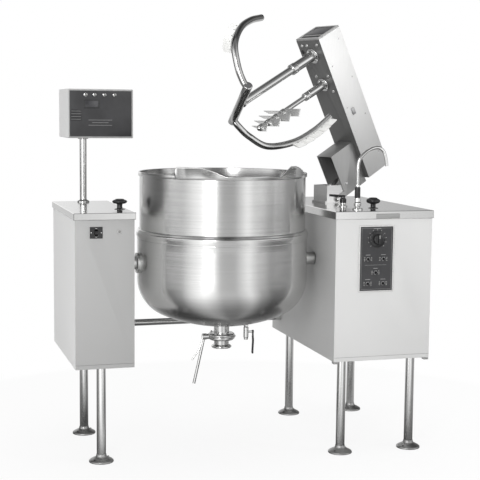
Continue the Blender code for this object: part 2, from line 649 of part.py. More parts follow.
def tilt_drive():
    """Worm wheel on the left trunnion, the worm under it and its geared motor."""
    worm_wheel(LEFT_WHEEL_X)
    worm_axis = empty("worm_axis", axis, (LEFT_WHEEL_X, 0, TILT_Z - worm_distance))
    pitch = math.pi * WHEEL_MODULE
    half = pitch / 4 - MESH_PLAY / 2
    low, high = WORM_PITCH_RADIUS - WHEEL_DEDENDUM - 0.001, WORM_PITCH_RADIUS + WHEEL_ADDENDUM
    section = ((low, -half - 0.0024), (high, -half + 0.0015), (high, half - 0.0015), (low, half + 0.0024))
    steps = 10
    thread = bmesh.new()
    rings = []
    for i in range(WORM_TURNS * steps + 1):
        angle = math.tau * (i / steps - WORM_TURNS / 2)
        advance = pitch * angle / math.tau
        # Right-handed about +Y, and at the middle of the thread straight up.
        rings.append([thread.verts.new((r * math.sin(angle), advance + along, r * math.cos(angle)))
                      for r, along in section])
    for here, there in zip(rings, rings[1:]):
        for k in range(4):
            thread.faces.new((here[k], there[k], there[(k + 1) % 4], here[(k + 1) % 4]))
    thread.faces.new(rings[0])
    thread.faces.new(rings[-1][::-1])
    bmesh.ops.recalc_face_normals(thread, faces=thread.faces)
    core = cylinder("tilt_worm", WORM_PITCH_RADIUS - WHEEL_DEDENDUM, WORM_LENGTH,
                    (0, WORM_LENGTH / 2 - WORM_FRONT, 0), "steel", worm_axis, axis="Y", sides=16)
    join(core, from_bmesh("worm_thread", thread, None, worm_axis, (0, 0, 0), (0, 0, 0)))
    start = WORM_LENGTH - WORM_FRONT + GAP
    chamfer = 0.004
    profile = [(0.0, TILT_MOTOR_LENGTH), (TILT_MOTOR_RADIUS - chamfer, TILT_MOTOR_LENGTH),
               (TILT_MOTOR_RADIUS, TILT_MOTOR_LENGTH - chamfer),
               (TILT_MOTOR_RADIUS, GEARBOX_LENGTH + chamfer), (GEARBOX_RADIUS, GEARBOX_LENGTH),
               (GEARBOX_RADIUS, 0.0), (0.0, 0.0)]
    motor = turned("tilt_motor", profile, "motor", worm_axis, (0, start, 0), (-math.pi / 2, 0, 0), steps=16)
    wall = LEFT_X[0] + SHEET + GAP - LEFT_WHEEL_X
    low, high = (start + reach for reach in MOTOR_BRACKET)
    bracket = box("tilt_motor_bracket", (wall, low, -MOTOR_BRACKET_HALF),
                  (-TILT_MOTOR_RADIUS / 2, high, MOTOR_BRACKET_HALF), None, worm_axis)
    join(motor, bracket)


def walls(name, x, y):
    """A sheet cabinet, open at the top under its lid, with its floor folded in."""
    top = CONSOLE_TOP_Z - SHEET - GAP
    outer = box(name, (x[0], y[0], CONSOLE_BOTTOM_Z), (x[1], y[1], top), "stainless", axis)
    inner = box(name + "_inside", (x[0] + SHEET, y[0] + SHEET, CONSOLE_BOTTOM_Z + SHEET),
                (x[1] - SHEET, y[1] - SHEET, top + 0.1), None, axis)
    return cut(outer, inner)


def lid(name, x, y, height):
    over = LID_OVERHANG
    outer = box(name, (x[0] - over, y[0] - over, CONSOLE_TOP_Z - height),
                (x[1] + over, y[1] + over, CONSOLE_TOP_Z), "polished", axis, bevel=0.002)
    inner = box(name + "_inside", (x[0] - GAP, y[0] - GAP, CONSOLE_TOP_Z - height - 0.02),
                (x[1] + GAP, y[1] + GAP, CONSOLE_TOP_Z - SHEET), None, axis)
    return cut(outer, inner)


def leg(name, x, y):
    """A leg tube in its flanged, domed foot."""
    top = CONSOLE_BOTTOM_Z - GAP
    profile = [(0.0, top), (LEG_RADIUS, top), (LEG_RADIUS, 0.052), (LEG_RADIUS + 0.002, 0.050),
               (LEG_RADIUS + 0.002, 0.026), (0.034, FOOT_HEIGHT), (FOOT_RADIUS, 0.007), (FOOT_RADIUS, 0.0),
               (0.0, 0.0)]
    return turned(name, profile, "stainless", axis, (x, y, 0), steps=12)


def bearing(name, wall, inward):
    """A pillow block for a trunnion, on the inside of the console's wall."""
    low, high = sorted((wall, wall + inward * BEARING_WIDTH))
    block = box(name, (low, -0.062, TILT_Z - 0.052), (high, 0.062, TILT_Z + 0.050), "steel", axis,
                bevel=0.006)
    bore = cylinder(name + "_bore", TRUNNION_RADIUS + GAP, 0.2, (wall, 0, TILT_Z), None, axis, axis="X")
    return cut(block, bore)


def trunnion_hole(name, x):
    return cylinder(name, TRUNNION_RADIUS + 0.006, 0.02, (x, 0, TILT_Z), None, axis, axis="X", sides=16)


def tube_hole(name, x):
    return cylinder(name, CROSS_TUBE_RADIUS + GAP, 0.02, (x, CROSS_TUBE_Y, CROSS_TUBE_Z), None, axis,
                    axis="X", sides=20)


def left_console():
    cabinet = walls("left_cabinet", LEFT_X, LEFT_Y)
    middle_x, middle_z = sum(SWITCH_X) / 2, sum(SWITCH_Z) / 2
    front = LEFT_Y[0]
    plate_front = box("tilt_switch_plate", (SWITCH_X[0], front - 0.0035, SWITCH_Z[0]),
                      (SWITCH_X[1], front + 0.001, SWITCH_Z[1]), None, axis)
    slot = box("tilt_switch_slot", (middle_x - SWITCH_WIDTH / 2 - GAP, front - 0.01, middle_z - 0.014),
               (middle_x + SWITCH_WIDTH / 2 + GAP, front + 0.01, middle_z + 0.014), None, axis)
    join(cabinet, plate_front)
    cut(cabinet, slot, trunnion_hole("left_trunnion_hole", LEFT_X[1]), tube_hole("left_tube_hole", LEFT_X[1]))
    lid("left_lid", LEFT_X, LEFT_Y, LEFT_LID_HEIGHT)
    leg("left_leg_front", LEFT_LEG_X, LEFT_LEG_Y[0])
    leg("left_leg_back", LEFT_LEG_X, LEFT_LEG_Y[1])
    bearing("left_bearing", LEFT_X[1] - SHEET - GAP, -1)
    rocker = empty("rocker_axis", axis, (middle_x, front, middle_z))
    switch = cylinder("tilt_switch", 0.0095, SWITCH_WIDTH, (0, 0, 0), "black", rocker, axis="X", sides=14)
    join(switch, box("tilt_switch_paddle", (-0.007, -0.019, -0.003), (0.007, 0, 0.003), None, rocker))
    mushroom("left_knob", LEFT_KNOB_PLACE, 0.0335, 0.046, 0.022)


def mushroom(name, spot, radius, height, head):
    """A mushroom-headed knob on a short collar."""
    profile = [(0.0, height), (radius * 0.55, height - 0.001), (radius * 0.88, height - head * 0.25),
               (radius, height - head * 0.55), (radius * 0.93, height - head * 0.82),
               (radius * 0.6, height - head), (radius * 0.36, height - head - 0.003), (radius * 0.36, 0.004),
               (radius * 0.55, 0.002), (radius * 0.55, 0.0), (0.0, 0.0)]
    return turned(name, profile, "black", axis, (*spot, CONSOLE_TOP_Z + GAP), steps=14)


def meter():
    """The water meter's control box on its pole at the back of the left console."""
    pole_top, foot = METER_Z[0] - GAP, CONSOLE_TOP_Z + GAP
    profile = [(0.0, pole_top), (POLE_RADIUS, pole_top), (POLE_RADIUS, foot + 0.010),
               (POLE_RADIUS + 0.006, foot + 0.008), (POLE_RADIUS + 0.012, foot + 0.004),
               (POLE_RADIUS + 0.012, foot), (0.0, foot)]
    turned("meter_pole", profile, "stainless", axis, (*POLE_PLACE, 0), steps=16)
    front, wall = METER_Y[0] + 0.004, 0.003
    housing = box("meter_housing", (METER_X[0], front, METER_Z[0]), (METER_X[1], METER_Y[1], METER_Z[1]),
                  "stainless", axis, bevel=0.003)
    cut(housing, box("meter_housing_inside", (METER_X[0] + wall, front + 0.0045, METER_Z[0] + wall),
                     (METER_X[1] - wall, METER_Y[1] - wall, METER_Z[1] - wall), None, axis))
    for i, x in enumerate(METER_BUTTON_X):
        hole = cylinder(f"meter_button_hole_{i + 1}", METER_BUTTON_RADIUS + GAP, 0.02,
                        (x, front, METER_BUTTON_Z), None, axis, axis="Y", sides=12)
        cut(housing, hole)
        cylinder(f"meter_button_{i + 1}", METER_BUTTON_RADIUS, 0.020, (x, front + 0.0035, METER_BUTTON_Z),
                 "chrome", axis, axis="Y", sides=12)
    cut(housing, box("meter_display_recess", (METER_DISPLAY_X[0], front - 0.01, METER_DISPLAY_Z[0]),
                     (METER_DISPLAY_X[1], front + 0.002, METER_DISPLAY_Z[1]), None, axis))


def right_console():
    cabinet = walls("right_cabinet", RIGHT_X, RIGHT_Y)
    opening = box("panel_opening", (PANEL_X[0] + PANEL_RIM, RIGHT_Y[0] - 0.01, PANEL_Z[0] + PANEL_RIM),
                  (PANEL_X[1] - PANEL_RIM, RIGHT_Y[0] + 0.01, PANEL_Z[1] - PANEL_RIM), None, axis)
    cut(cabinet, opening, trunnion_hole("right_trunnion_hole", RIGHT_X[0]),
        tube_hole("right_tube_hole", RIGHT_X[0]))
    lid("right_lid", RIGHT_X, RIGHT_Y, RIGHT_LID_HEIGHT)
    for row, y in zip(("front", "back"), RIGHT_LEG_Y):
        for side, x in zip(("left", "right"), RIGHT_LEG_X):
            leg(f"right_leg_{row}_{side}", x, y)
    bearing("right_bearing", RIGHT_X[0] + SHEET + GAP, 1)
    control_panel()
    mushroom("right_knob", RIGHT_KNOB_PLACE, 0.0325, 0.049, 0.028)
    lever_axis = empty("lever_axis", axis, (*LEVER_PLACE, CONSOLE_TOP_Z + GAP))
    post = [(0.0, 0.054), (0.010, 0.054), (0.011, 0.050), (0.011, 0.041), (0.0065, 0.040), (0.0065, 0.022),
            (0.013, 0.020), (0.015, 0.010), (0.010, 0.006), (0.020, 0.004), (0.020, 0.0), (0.0, 0.0)]
    grip = pipe("valve_lever_grip", [(0, 0, 0.047), (-0.030, 0.004, 0.050), (-0.066, 0.008, 0.053)], 0.0055,
                None, lever_axis)
    join(turned("valve_lever", post, "black", lever_axis, steps=12), grip)


def control_panel():
    """The panel on the right console's front, with its dial and toggles."""
    face = RIGHT_Y[0] - GAP - PANEL_THICK
    panel = box("control_panel", (PANEL_X[0], face, PANEL_Z[0]), (PANEL_X[1], RIGHT_Y[0] - GAP, PANEL_Z[1]),
                "black", axis)
    spindle = 0.005
    cut(panel, cylinder("dial_hole", spindle + GAP, 0.03, (DIAL_PLACE[0], face, DIAL_PLACE[1]), None, axis,
                        axis="Y", sides=12))
    dial_axis = empty("dial_axis", axis, (DIAL_PLACE[0], face - GAP, DIAL_PLACE[1]), (math.pi / 2, 0, 0))
    r = DIAL_RADIUS
    profile = [(0.0, 0.022), (r * 0.52, 0.022), (r * 0.58, 0.019), (r * 0.62, 0.006), (r, 0.004), (r, 0.0),
               (spindle, 0.0), (spindle, -0.014), (0.0, -0.014)]
    dial = turned("panel_dial", profile, "black", dial_axis, steps=20)
    join(dial, box("dial_grip", (-0.0045, -r * 0.56, 0.010), (0.0045, r * 0.56, 0.030), None, dial_axis))
    bat = [(0.0, 0.0205), (0.0030, 0.018), (0.0022, 0.005), (TOGGLE_BALL, 0.0),
           (TOGGLE_BALL * 0.7, -0.0032), (0.0, -TOGGLE_BALL)]
    for i, (x, z) in enumerate(TOGGLE_PLACES):
        cut(panel, cylinder(f"toggle_hole_{i + 1}", TOGGLE_BALL + TOGGLE_PLAY, 0.03, (x, face, z), None, axis,
                            axis="Y", sides=12))
        toggle_axis = empty(f"toggle_axis_{i + 1}", axis, (x, face + 0.002, z))
        turned(f"toggle_{i + 1}", bat, "chrome", toggle_axis, rotation=(math.pi / 2 + TOGGLE_TILT, 0, 0),
               steps=8)


def faucet():
    """A swivel faucet: chrome body with a dark sleeve, and a bent spout."""
    foot = CONSOLE_TOP_Z + GAP
    body = [(0.0, 0.102), (0.010, 0.102), (0.013, 0.098), (0.013, 0.034), (0.017, 0.030), (0.017, 0.018),
            (0.012, 0.014), (0.012, 0.008), (0.023, 0.006), (0.024, 0.0), (0.0, 0.0)]
    turned("faucet_body", body, "chrome", axis, (*FAUCET_PLACE, foot), steps=14)
    swivel = empty("faucet_axis", axis, (*FAUCET_PLACE, foot + 0.102 + GAP))
    pipe_curve("faucet_spout", SPOUT_PATH, SPOUT_RADIUS, "chrome", swivel)


def pedestal():
    """The open-topped box that carries the arm's hinge, with the lift cylinder in it."""
    plane = empty("swing_plane", axis, (0, 0, 0), (0, 0, math.pi / 2 + HEADING))
    half, low, floor = PEDESTAL_WIDTH / 2, CONSOLE_TOP_Z + GAP, CONSOLE_TOP_Z + GAP + PEDESTAL_BASE
    base = box("pedestal", (-half, -PEDESTAL_BACK - 0.010, low), (half, -PEDESTAL_FRONT + 0.010, floor),
               "stainless", plane)
    tower = box("pedestal_tower", (-half, -PEDESTAL_BACK, low + 0.001),
                (half, -PEDESTAL_FRONT, PEDESTAL_TOP_Z), None, plane)
    inside = box("pedestal_inside", (-half + PEDESTAL_SHEET, -PEDESTAL_BACK + PEDESTAL_SHEET, floor),
                 (half - PEDESTAL_SHEET, -PEDESTAL_FRONT - PEDESTAL_SHEET, PEDESTAL_TOP_Z + 0.1), None, plane)
    pin = cylinder("hinge_pin", HINGE_PIN_RADIUS, 2 * (half + EAR_PLAY + HOOD_SHEET + 0.006),
                   (0, -BRIDGE_REACH, HINGE_Z), None, plane, axis="X", sides=16)
    foot_away, foot_z = LIFT_FOOT
    lug = cylinder("lift_lug", LIFT_LUG_RADIUS, 0.022, (-0.007, -foot_away, foot_z), None, plane, axis="X",
                   sides=12)
    stand = box("lift_stand", (-0.018, -foot_away - 0.007, floor - 0.001),
                (-0.012, -foot_away + 0.007, foot_z + 0.007), None, plane)
    cut(join(base, tower), inside)
    join(base, pin, stand, lug)

    head_away, head_z = raised(*LIFT_HEAD)
    lean = math.atan2(head_z - foot_z, head_away - foot_away)
    length = math.hypot(head_z - foot_z, head_away - foot_away)
    strut = empty("lift_foot", plane, (0, -foot_away, foot_z), (math.pi / 2 - lean, 0, 0))
    bore = LIFT_ROD_RADIUS + GAP
    barrel = [(0.0, 0.014), (bore, 0.014), (bore, LIFT_BARREL), (LIFT_BARREL_RADIUS, LIFT_BARREL),
              (LIFT_BARREL_RADIUS, 0.012), (0.006, 0.010), (0.006, 0.003), (0.0, 0.003)]
    cylinder_body = turned("lift_cylinder", barrel[::-1], "stainless", strut, steps=14)
    eye = cylinder("lift_eye", 0.0085, 0.012, (0, 0, 0), None, strut, axis="X", sides=14)
    eye_hole = cylinder("lift_eye_hole", LIFT_LUG_RADIUS + GAP, 0.03, (0, 0, 0), None, strut, axis="X",
                        sides=12)
    cut(join(cylinder_body, eye), eye_hole)
    rod = cylinder("lift_rod", LIFT_ROD_RADIUS, length - LIFT_ROD_START,
                   (0, 0, (length + LIFT_ROD_START) / 2), "chrome", strut, sides=14)
    head = cylinder("lift_head", LIFT_HEAD_RADIUS, 0.012, (0, 0, length), None, strut, axis="X", sides=16)
    head_hole = cylinder("lift_head_hole", LIFT_HEAD_BORE, 0.03, (0, 0, length), None, strut, axis="X",
                         sides=16)
    cut(join(rod, head), head_hole)


def bridge(arm):
    """The hood over the hinge and the arm with its belt drive."""
    half = PEDESTAL_WIDTH / 2 + EAR_PLAY + HOOD_SHEET
    top, low = UNDERSIDE_RISE - GAP, UNDERSIDE_RISE - HOOD_DEPTH
    hood = box("bridge_hood", (-half, HOOD_BACK, low), (half, HOOD_FRONT, top), "stainless", arm)
    inside = box("bridge_hood_inside", (-half + HOOD_SHEET, HOOD_BACK - 0.05, low - 0.05),
                 (half - HOOD_SHEET, HOOD_FRONT - HOOD_SHEET, top - HOOD_SHEET), None, arm)
    cut(hood, inside)
    for side in (-1, 1):
        x0, x1 = sorted((side * half, side * (half - HOOD_SHEET)))
        strap = box(f"ear_strap_{side + 1}", (x0, -EAR_RADIUS, 0), (x1, EAR_RADIUS, low + 0.02), None, arm)
        round_end = cylinder(f"ear_end_{side + 1}", EAR_RADIUS, HOOD_SHEET, ((x0 + x1) / 2, 0, 0), None, arm,
                             axis="X", sides=14)
        join(hood, strap, round_end)
    cut(hood, cylinder("ear_hole", HINGE_PIN_RADIUS + GAP, 4 * half, (0, 0, 0), None, arm, axis="X",
                       sides=16))
    join(hood, cylinder("lift_head_pin", LIFT_PIN_RADIUS, 2 * half - HOOD_SHEET, (0, *LIFT_HEAD), None, arm,
                        axis="X", sides=10))

    wide, floor, roof = ARM_WIDTH / 2, UNDERSIDE_RISE, UNDERSIDE_RISE + ARM_HEIGHT
    housing = box("bridge_housing", (-wide, ARM_TAIL, floor), (wide, ARM_TIP - CAP_THICK - GAP, roof),
                  "stainless", arm)
    hollow = box("bridge_housing_inside", (-wide + ARM_SHEET, ARM_TAIL + ARM_SHEET, floor + ARM_SHEET),
                 (wide - ARM_SHEET, ARM_TIP + 0.1, roof - ARM_SHEET), None, arm)
    cut(housing, hollow)
    cap = box("bridge_end_cap", (-wide, ARM_TIP - CAP_THICK, floor), (wide, ARM_TIP, roof), "stainless", arm,
              bevel=0.002)
    cut(cap, box("bridge_end_cap_recess", (-wide + CAP_RIM, ARM_TIP - CAP_RECESS, floor + CAP_RIM),
                 (wide - CAP_RIM, ARM_TIP + 0.01, roof - CAP_RIM), None, arm))

    spin = empty("agitator_axis", arm, (0, BRIDGE_REACH, UNDERSIDE_RISE))
    second = empty("second_axis", arm, (0, SECOND_SHAFT_REACH, UNDERSIDE_RISE))
    for place_name, at, shaft, sleeve, length in (
        ("main_sleeve", spin, MAIN_SHAFT_RADIUS, MAIN_SLEEVE_RADIUS, MAIN_SLEEVE_LENGTH),
        ("second_sleeve", second, SECOND_SHAFT_RADIUS, SECOND_SLEEVE_RADIUS, SECOND_SLEEVE_LENGTH),
    ):
        hole = cylinder(place_name + "_hole", shaft + 0.0015, 0.02, (0, 0, 0), None, at, sides=18)
        cut(housing, hole)
        bore = shaft + 2 * GAP
        flange = sleeve + 0.014
        profile = [(flange, -GAP), (flange, -0.006), (sleeve + 0.002, -0.008), (sleeve, -0.012),
                   (sleeve, -length), (bore, -length), (bore, -GAP)]
        turned(place_name, profile, "stainless", at, steps=16, ring=True)

    belt_z = PULLEY_RISE + PULLEY_WIDTH / 2
    distance = BRIDGE_REACH - SECOND_SHAFT_REACH
    loops = [belt_loop(PULLEY_MAIN + out, PULLEY_SECOND + out, distance) for out in (GAP + BELT_THICK, GAP)]
    plate("drive_belt", loops, BELT_WIDTH, "rubber", spin, (0, 0, belt_z))
    motor_foot = PULLEY_RISE + PULLEY_WIDTH + 0.012
    motor_top = ARM_HEIGHT - ARM_SHEET - GAP
    profile = [(0.0, motor_top), (MOTOR_RADIUS, motor_top), (MOTOR_RADIUS, motor_foot + 0.010),
               (MOTOR_RADIUS - 0.006, motor_foot), (0.0, motor_foot)]
    turned("agitator_motor", profile, "motor", spin, steps=20)
    return spin, second


def belt_loop(big, small, distance):
    """Outline round two pulleys: the big one at the origin, the small one along -Y."""
    slant = math.asin((big - small) / distance)
    points = []
    for radius, start, sweep, count, shift in (
        (big, -slant, math.pi + 2 * slant, 15, 0.0),
        (small, math.pi + slant, math.pi - 2 * slant, 9, -distance),
    ):
        reach = radius / math.cos(sweep / count / 2)
        for i in range(count + 1):
            angle = start + sweep * i / count
            points.append((reach * math.cos(angle), reach * math.sin(angle) + shift))
    return points


def pulley(shaft, radius):
    """Outer profile of a pulley with its rims, from the top down, on a shaft."""
    low, high = PULLEY_RISE, PULLEY_RISE + PULLEY_WIDTH
    rim = radius + PULLEY_RIM
    return [(shaft, high + PULLEY_RIM_THICK), (rim, high + PULLEY_RIM_THICK), (rim, high), (radius, high),
            (radius, low), (rim, low), (rim, low - PULLEY_RIM_THICK), (shaft, low - PULLEY_RIM_THICK)]


def smooth_line(points, steps):
    """Catmull-Rom line through the points."""
    ends = [2 * points[0] - points[1]] + points + [2 * points[-1] - points[-2]]
    line = []
    for a, b, c, d in zip(ends, ends[1:], ends[2:], ends[3:]):
        for i in range(steps):
            s = i / steps
            line.append(0.5 * (2 * b + (c - a) * s + (2 * a - 5 * b + 4 * c - d) * s ** 2
                               + (3 * b - a - 3 * c + d) * s ** 3))
    return line + [points[-1]]


def agitators(spin, second):
    """The anchor with its scrapers on the main shaft, and the paddles on the second."""
    top = PULLEY_RISE + PULLEY_WIDTH + 0.010
    profile = [(0.0, top), (MAIN_SHAFT_RADIUS, top)] + pulley(MAIN_SHAFT_RADIUS, PULLEY_MAIN)
    profile += [(MAIN_SHAFT_RADIUS, -BAR_DEPTH), (0.0, -BAR_DEPTH)]
    shaft = turned("main_shaft", profile, "polished", spin, steps=16)
    bar_turn = empty("bar_turn", spin, (0, 0, -BAR_DEPTH), (0, 0, BAR_ANGLE))
    cut(shaft, cylinder("bar_seat", BAR_RADIUS + GAP, 0.1, (0, 0, 0), None, bar_turn, axis="X", sides=24))
    anchor = cylinder("anchor", BAR_RADIUS, 2 * BAR_HALF_LENGTH, (0, 0, 0), "polished", bar_turn, axis="X",
                      sides=20)

    path = []
    for radius, angle, depth in ANCHOR_PATH:
        turn = math.radians(angle)
        path.append(Vector((radius * math.cos(turn), radius * math.sin(turn), -depth)))
    line = smooth_line(path, 4)
    for side, (shallow, deep) in enumerate(SCRAPER_DEPTHS):
        half_turn = empty(f"anchor_side_{side + 1}", spin, (0, 0, 0), (0, 0, math.pi * side))
        join(anchor, pipe(f"anchor_arm_{side + 1}", line, ARM_TUBE_RADIUS, None, half_turn, straight=True,
                          sides=2))
        strip = bmesh.new()
        rings = []
        for i in [i for i, p in enumerate(line) if shallow <= -p.z <= deep]:
            here = line[i]
            tangent = (line[i + 1] - line[i - 1]).normalized()
            across = Vector((-here.y, here.x, 0)).normalized()
            out = across.cross(tangent).normalized()
            if out.dot(here) < 0:
                out = -out
            along = out * math.cos(SCRAPER_SLANT) - across * math.sin(SCRAPER_SLANT)
            thick = out * math.sin(SCRAPER_SLANT) + across * math.cos(SCRAPER_SLANT)
            near = ARM_TUBE_RADIUS + SCRAPER_STAND
            rings.append([strip.verts.new(here + along * reach + thick * off) for reach, off in
                          ((near, -SCRAPER_THICK / 2), (SCRAPER_REACH, -SCRAPER_EDGE / 2),
                           (SCRAPER_REACH, SCRAPER_EDGE / 2), (near, SCRAPER_THICK / 2))])
        for here, there in zip(rings, rings[1:]):
            for k in range(4):
                strip.faces.new((here[k], there[k], there[(k + 1) % 4], here[(k + 1) % 4]))
        strip.faces.new(rings[0])
        strip.faces.new(rings[-1][::-1])
        bmesh.ops.recalc_face_normals(strip, faces=strip.faces)
        from_bmesh(f"scraper_{side + 1}", strip, "nylon", half_turn, (0, 0, 0), (0, 0, 0))

    ball = PADDLE_BALL_RADIUS
    profile = [(0.0, top), (SECOND_SHAFT_RADIUS, top)] + pulley(SECOND_SHAFT_RADIUS, PULLEY_SECOND)
    profile += [(SECOND_SHAFT_RADIUS, -PADDLE_BALL_DEPTH + ball * 0.3)]
    profile += [(ball * math.cos(turn), -PADDLE_BALL_DEPTH + ball * math.sin(turn)) for turn in
                (0.0, -0.4, -0.8, -1.2)] + [(0.0, -PADDLE_BALL_DEPTH - ball)]
    paddles = turned("second_shaft", profile, "polished", second, steps=10)
    for tier, length in enumerate(PADDLE_LENGTHS):
        depth = PADDLE_BOTTOM_DEPTH - tier * PADDLE_TIER_SPACING
        for side in (-1, 1):
            blade = box(f"paddle_{tier + 1}_{side + 1}", (-length / 2, -PADDLE_WIDTH / 2, -PADDLE_THICK / 2),
                        (length / 2, PADDLE_WIDTH / 2, PADDLE_THICK / 2), None, second)
            blade.location = (side * length / 2, 0, -depth)
            blade.rotation_euler = (-side * PADDLE_PITCH, 0, 0)
            join(paddles, blade)


kettle()
pouring_lip()
draw_off()
tilt_drive()
left_console()
meter()
right_console()
faucet()
cylinder("cross_tube", CROSS_TUBE_RADIUS, RIGHT_X[0] - LEFT_X[1] + 0.040,
         ((RIGHT_X[0] + LEFT_X[1]) / 2, CROSS_TUBE_Y, CROSS_TUBE_Z), "stainless", axis, axis="X", sides=20)
pedestal()
hinge = (BRIDGE_REACH * math.cos(HEADING), BRIDGE_REACH * math.sin(HEADING), HINGE_Z)
agitators(*bridge(empty("bridge_hinge", axis, hinge, (LIFT_ANGLE, 0, math.pi / 2 + HEADING))))
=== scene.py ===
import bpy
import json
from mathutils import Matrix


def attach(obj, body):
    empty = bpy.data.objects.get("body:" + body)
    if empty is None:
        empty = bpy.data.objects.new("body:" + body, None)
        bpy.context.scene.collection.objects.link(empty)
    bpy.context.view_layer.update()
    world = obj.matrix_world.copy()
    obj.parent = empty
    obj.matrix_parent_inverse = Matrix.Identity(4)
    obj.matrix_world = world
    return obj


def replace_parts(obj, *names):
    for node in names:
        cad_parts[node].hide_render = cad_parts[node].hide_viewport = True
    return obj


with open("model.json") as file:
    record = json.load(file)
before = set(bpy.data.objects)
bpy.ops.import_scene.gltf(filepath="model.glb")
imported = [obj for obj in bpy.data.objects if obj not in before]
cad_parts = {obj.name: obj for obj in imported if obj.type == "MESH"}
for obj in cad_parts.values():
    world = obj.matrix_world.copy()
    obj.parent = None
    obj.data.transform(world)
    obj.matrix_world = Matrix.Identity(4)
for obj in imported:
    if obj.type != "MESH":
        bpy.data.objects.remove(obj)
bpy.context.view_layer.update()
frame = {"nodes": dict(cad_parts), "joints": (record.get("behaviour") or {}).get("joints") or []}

import json
import math

import bmesh
import bpy
from mathutils import Matrix, Vector

# Places read from the frame. Heights are from the floor, X and Y from the kettle's centre line.

nodes = frame["nodes"]
joints = {j["name"]: j for j in frame["joints"]}
KX, KY, TILT_Z = joints["kettle_tilt"]["pos_m"]
CENTRE = Vector((KX, KY, 0))
AXIS = Matrix.Translation(CENTRE)
GAP = 0.0003
LID_OVERHANG = 0.005
LIFT = math.radians(62.1)


def box_of(node):
    """The low and high corners of a standing node's box."""
    points = [nodes[node].matrix_world @ v.co - CENTRE for v in nodes[node].data.vertices]
    return [[pick(p[i] for p in points) for i in range(3)] for pick in (min, max)]


def joint_spot(name):
    return Vector(joints[name]["pos_m"]) - CENTRE


def console(lid):
    """A console's X span, Y span and the height of its lid's skirt, from its pan lid."""
    low, high = box_of(lid)
    spans = [(low[i] + LID_OVERHANG, high[i] - LID_OVERHANG) for i in range(2)]
    return *spans, high[2] - low[2]


LEFT_X, LEFT_Y, LEFT_SKIRT = console("left_lid")
RIGHT_X, RIGHT_Y, RIGHT_SKIRT = console("right_lid")
LOW = box_of("left_cabinet")[0][2]
TOP = box_of("left_lid")[1][2]

# The bridge's own frame: Y runs along the arm, Z along the agitator shafts.
HINGE = Vector(joints["bridge_lift"]["pos_m"])
SWING = Vector(joints["bridge_lift"]["axis"]).normalized()
HEADING = math.atan2(-SWING.x, SWING.y)
ARM_TURN = Matrix.Rotation(math.pi / 2 + HEADING, 4, "Z") @ Matrix.Rotation(LIFT, 4, "X")
ARM = Matrix.Translation(HINGE) @ ARM_TURN
UNDERSIDE = ARM_TURN.to_3x3() @ Vector((0, 0, -1))
DOWN_ARM = ARM_TURN.to_3x3() @ Vector((0, -1, 0))
ARM_FOOT = HINGE.dot(DOWN_ARM)


def on_arm(name):
    """Where a shaft's joint stands in the bridge's frame."""
    return ARM.inverted() @ Vector(joints[name]["pos_m"])


RISE = on_arm("agitator_spin").z
SPIN = ARM @ Matrix.Translation((0, on_arm("agitator_spin").y, RISE))
SECOND_SPIN = ARM @ Matrix.Translation((0, on_arm("second_spin").y, RISE))

# Node materials


def new_material(name):
    made = bpy.data.materials.new(name)
    made.use_nodes = True
    tree = made.node_tree
    return made, tree, tree.nodes["Principled BSDF"]


def link(tree, a, b):
    tree.links.new(a, b)


def noise(tree, scale, stretch=(1, 1, 1), detail=3.0, rough=0.55):
    coords = tree.nodes.new("ShaderNodeTexCoord")
    mapping = tree.nodes.new("ShaderNodeMapping")
    mapping.inputs["Scale"].default_value = stretch
    link(tree, coords.outputs["Object"], mapping.inputs["Vector"])
    made = tree.nodes.new("ShaderNodeTexNoise")
    made.inputs["Scale"].default_value = scale
    made.inputs["Detail"].default_value = detail
    made.inputs["Roughness"].default_value = rough
    link(tree, mapping.outputs["Vector"], made.inputs["Vector"])
    return made.outputs["Fac"]


def spread(tree, value, low, high, a=0.3, b=0.7):
    """Map a value from the span a to b onto the span low to high."""
    made = tree.nodes.new("ShaderNodeMapRange")
    for socket, number in zip(("From Min", "From Max", "To Min", "To Max"), (a, b, low, high)):
        made.inputs[socket].default_value = number
    link(tree, value, made.inputs["Value"])
    return made.outputs["Result"]


def mix_colours(tree, value, dark, light):
    made = tree.nodes.new("ShaderNodeMix")
    made.data_type = "RGBA"
    link(tree, value, made.inputs["Factor"])
    made.inputs["A"].default_value = (*dark, 1)
    made.inputs["B"].default_value = (*light, 1)
    return made.outputs["Result"]


def shaded(tree, colour, share, other):
    """Go over to the other colour as the share grows; used for painted light and shade."""
    made = tree.nodes.new("ShaderNodeMix")
    made.data_type = "RGBA"
    link(tree, share, made.inputs["Factor"])
    link(tree, colour, made.inputs["A"])
    made.inputs["B"].default_value = (*other, 1)
    return made.outputs["Result"]


def share_along(tree, output, direction, low, high):
    """How far a coordinate output reaches along a direction, from 0 at low to 1 at high."""
    coords = tree.nodes.new("ShaderNodeTexCoord")
    made = tree.nodes.new("ShaderNodeVectorMath")
    made.operation = "DOT_PRODUCT"
    made.inputs[1].default_value = direction
    link(tree, coords.outputs[output], made.inputs[0])
    return spread(tree, made.outputs["Value"], 0.0, 1.0, low, high)


def bump(tree, shader, value, strength, distance=0.0004):
    made = tree.nodes.new("ShaderNodeBump")
    made.inputs["Strength"].default_value = strength
    made.inputs["Distance"].default_value = distance
    link(tree, value, made.inputs["Height"])
    link(tree, made.outputs["Normal"], shader.inputs["Normal"])


def grey(value):
    """A steel's neutral colour, a touch warm."""
    return value, value, value * 0.993


def upright_grain(tree, shader, amount):
    """Reflections drawn out up and down, as on a shell that was polished round and round."""
    shader.inputs["Anisotropic"].default_value = amount
    shader.inputs["Anisotropic Rotation"].default_value = 0.25
    tangent = tree.nodes.new("ShaderNodeTangent")
    tangent.direction_type = "RADIAL"
    tangent.axis = "Z"
    link(tree, tangent.outputs["Tangent"], shader.inputs["Tangent"])


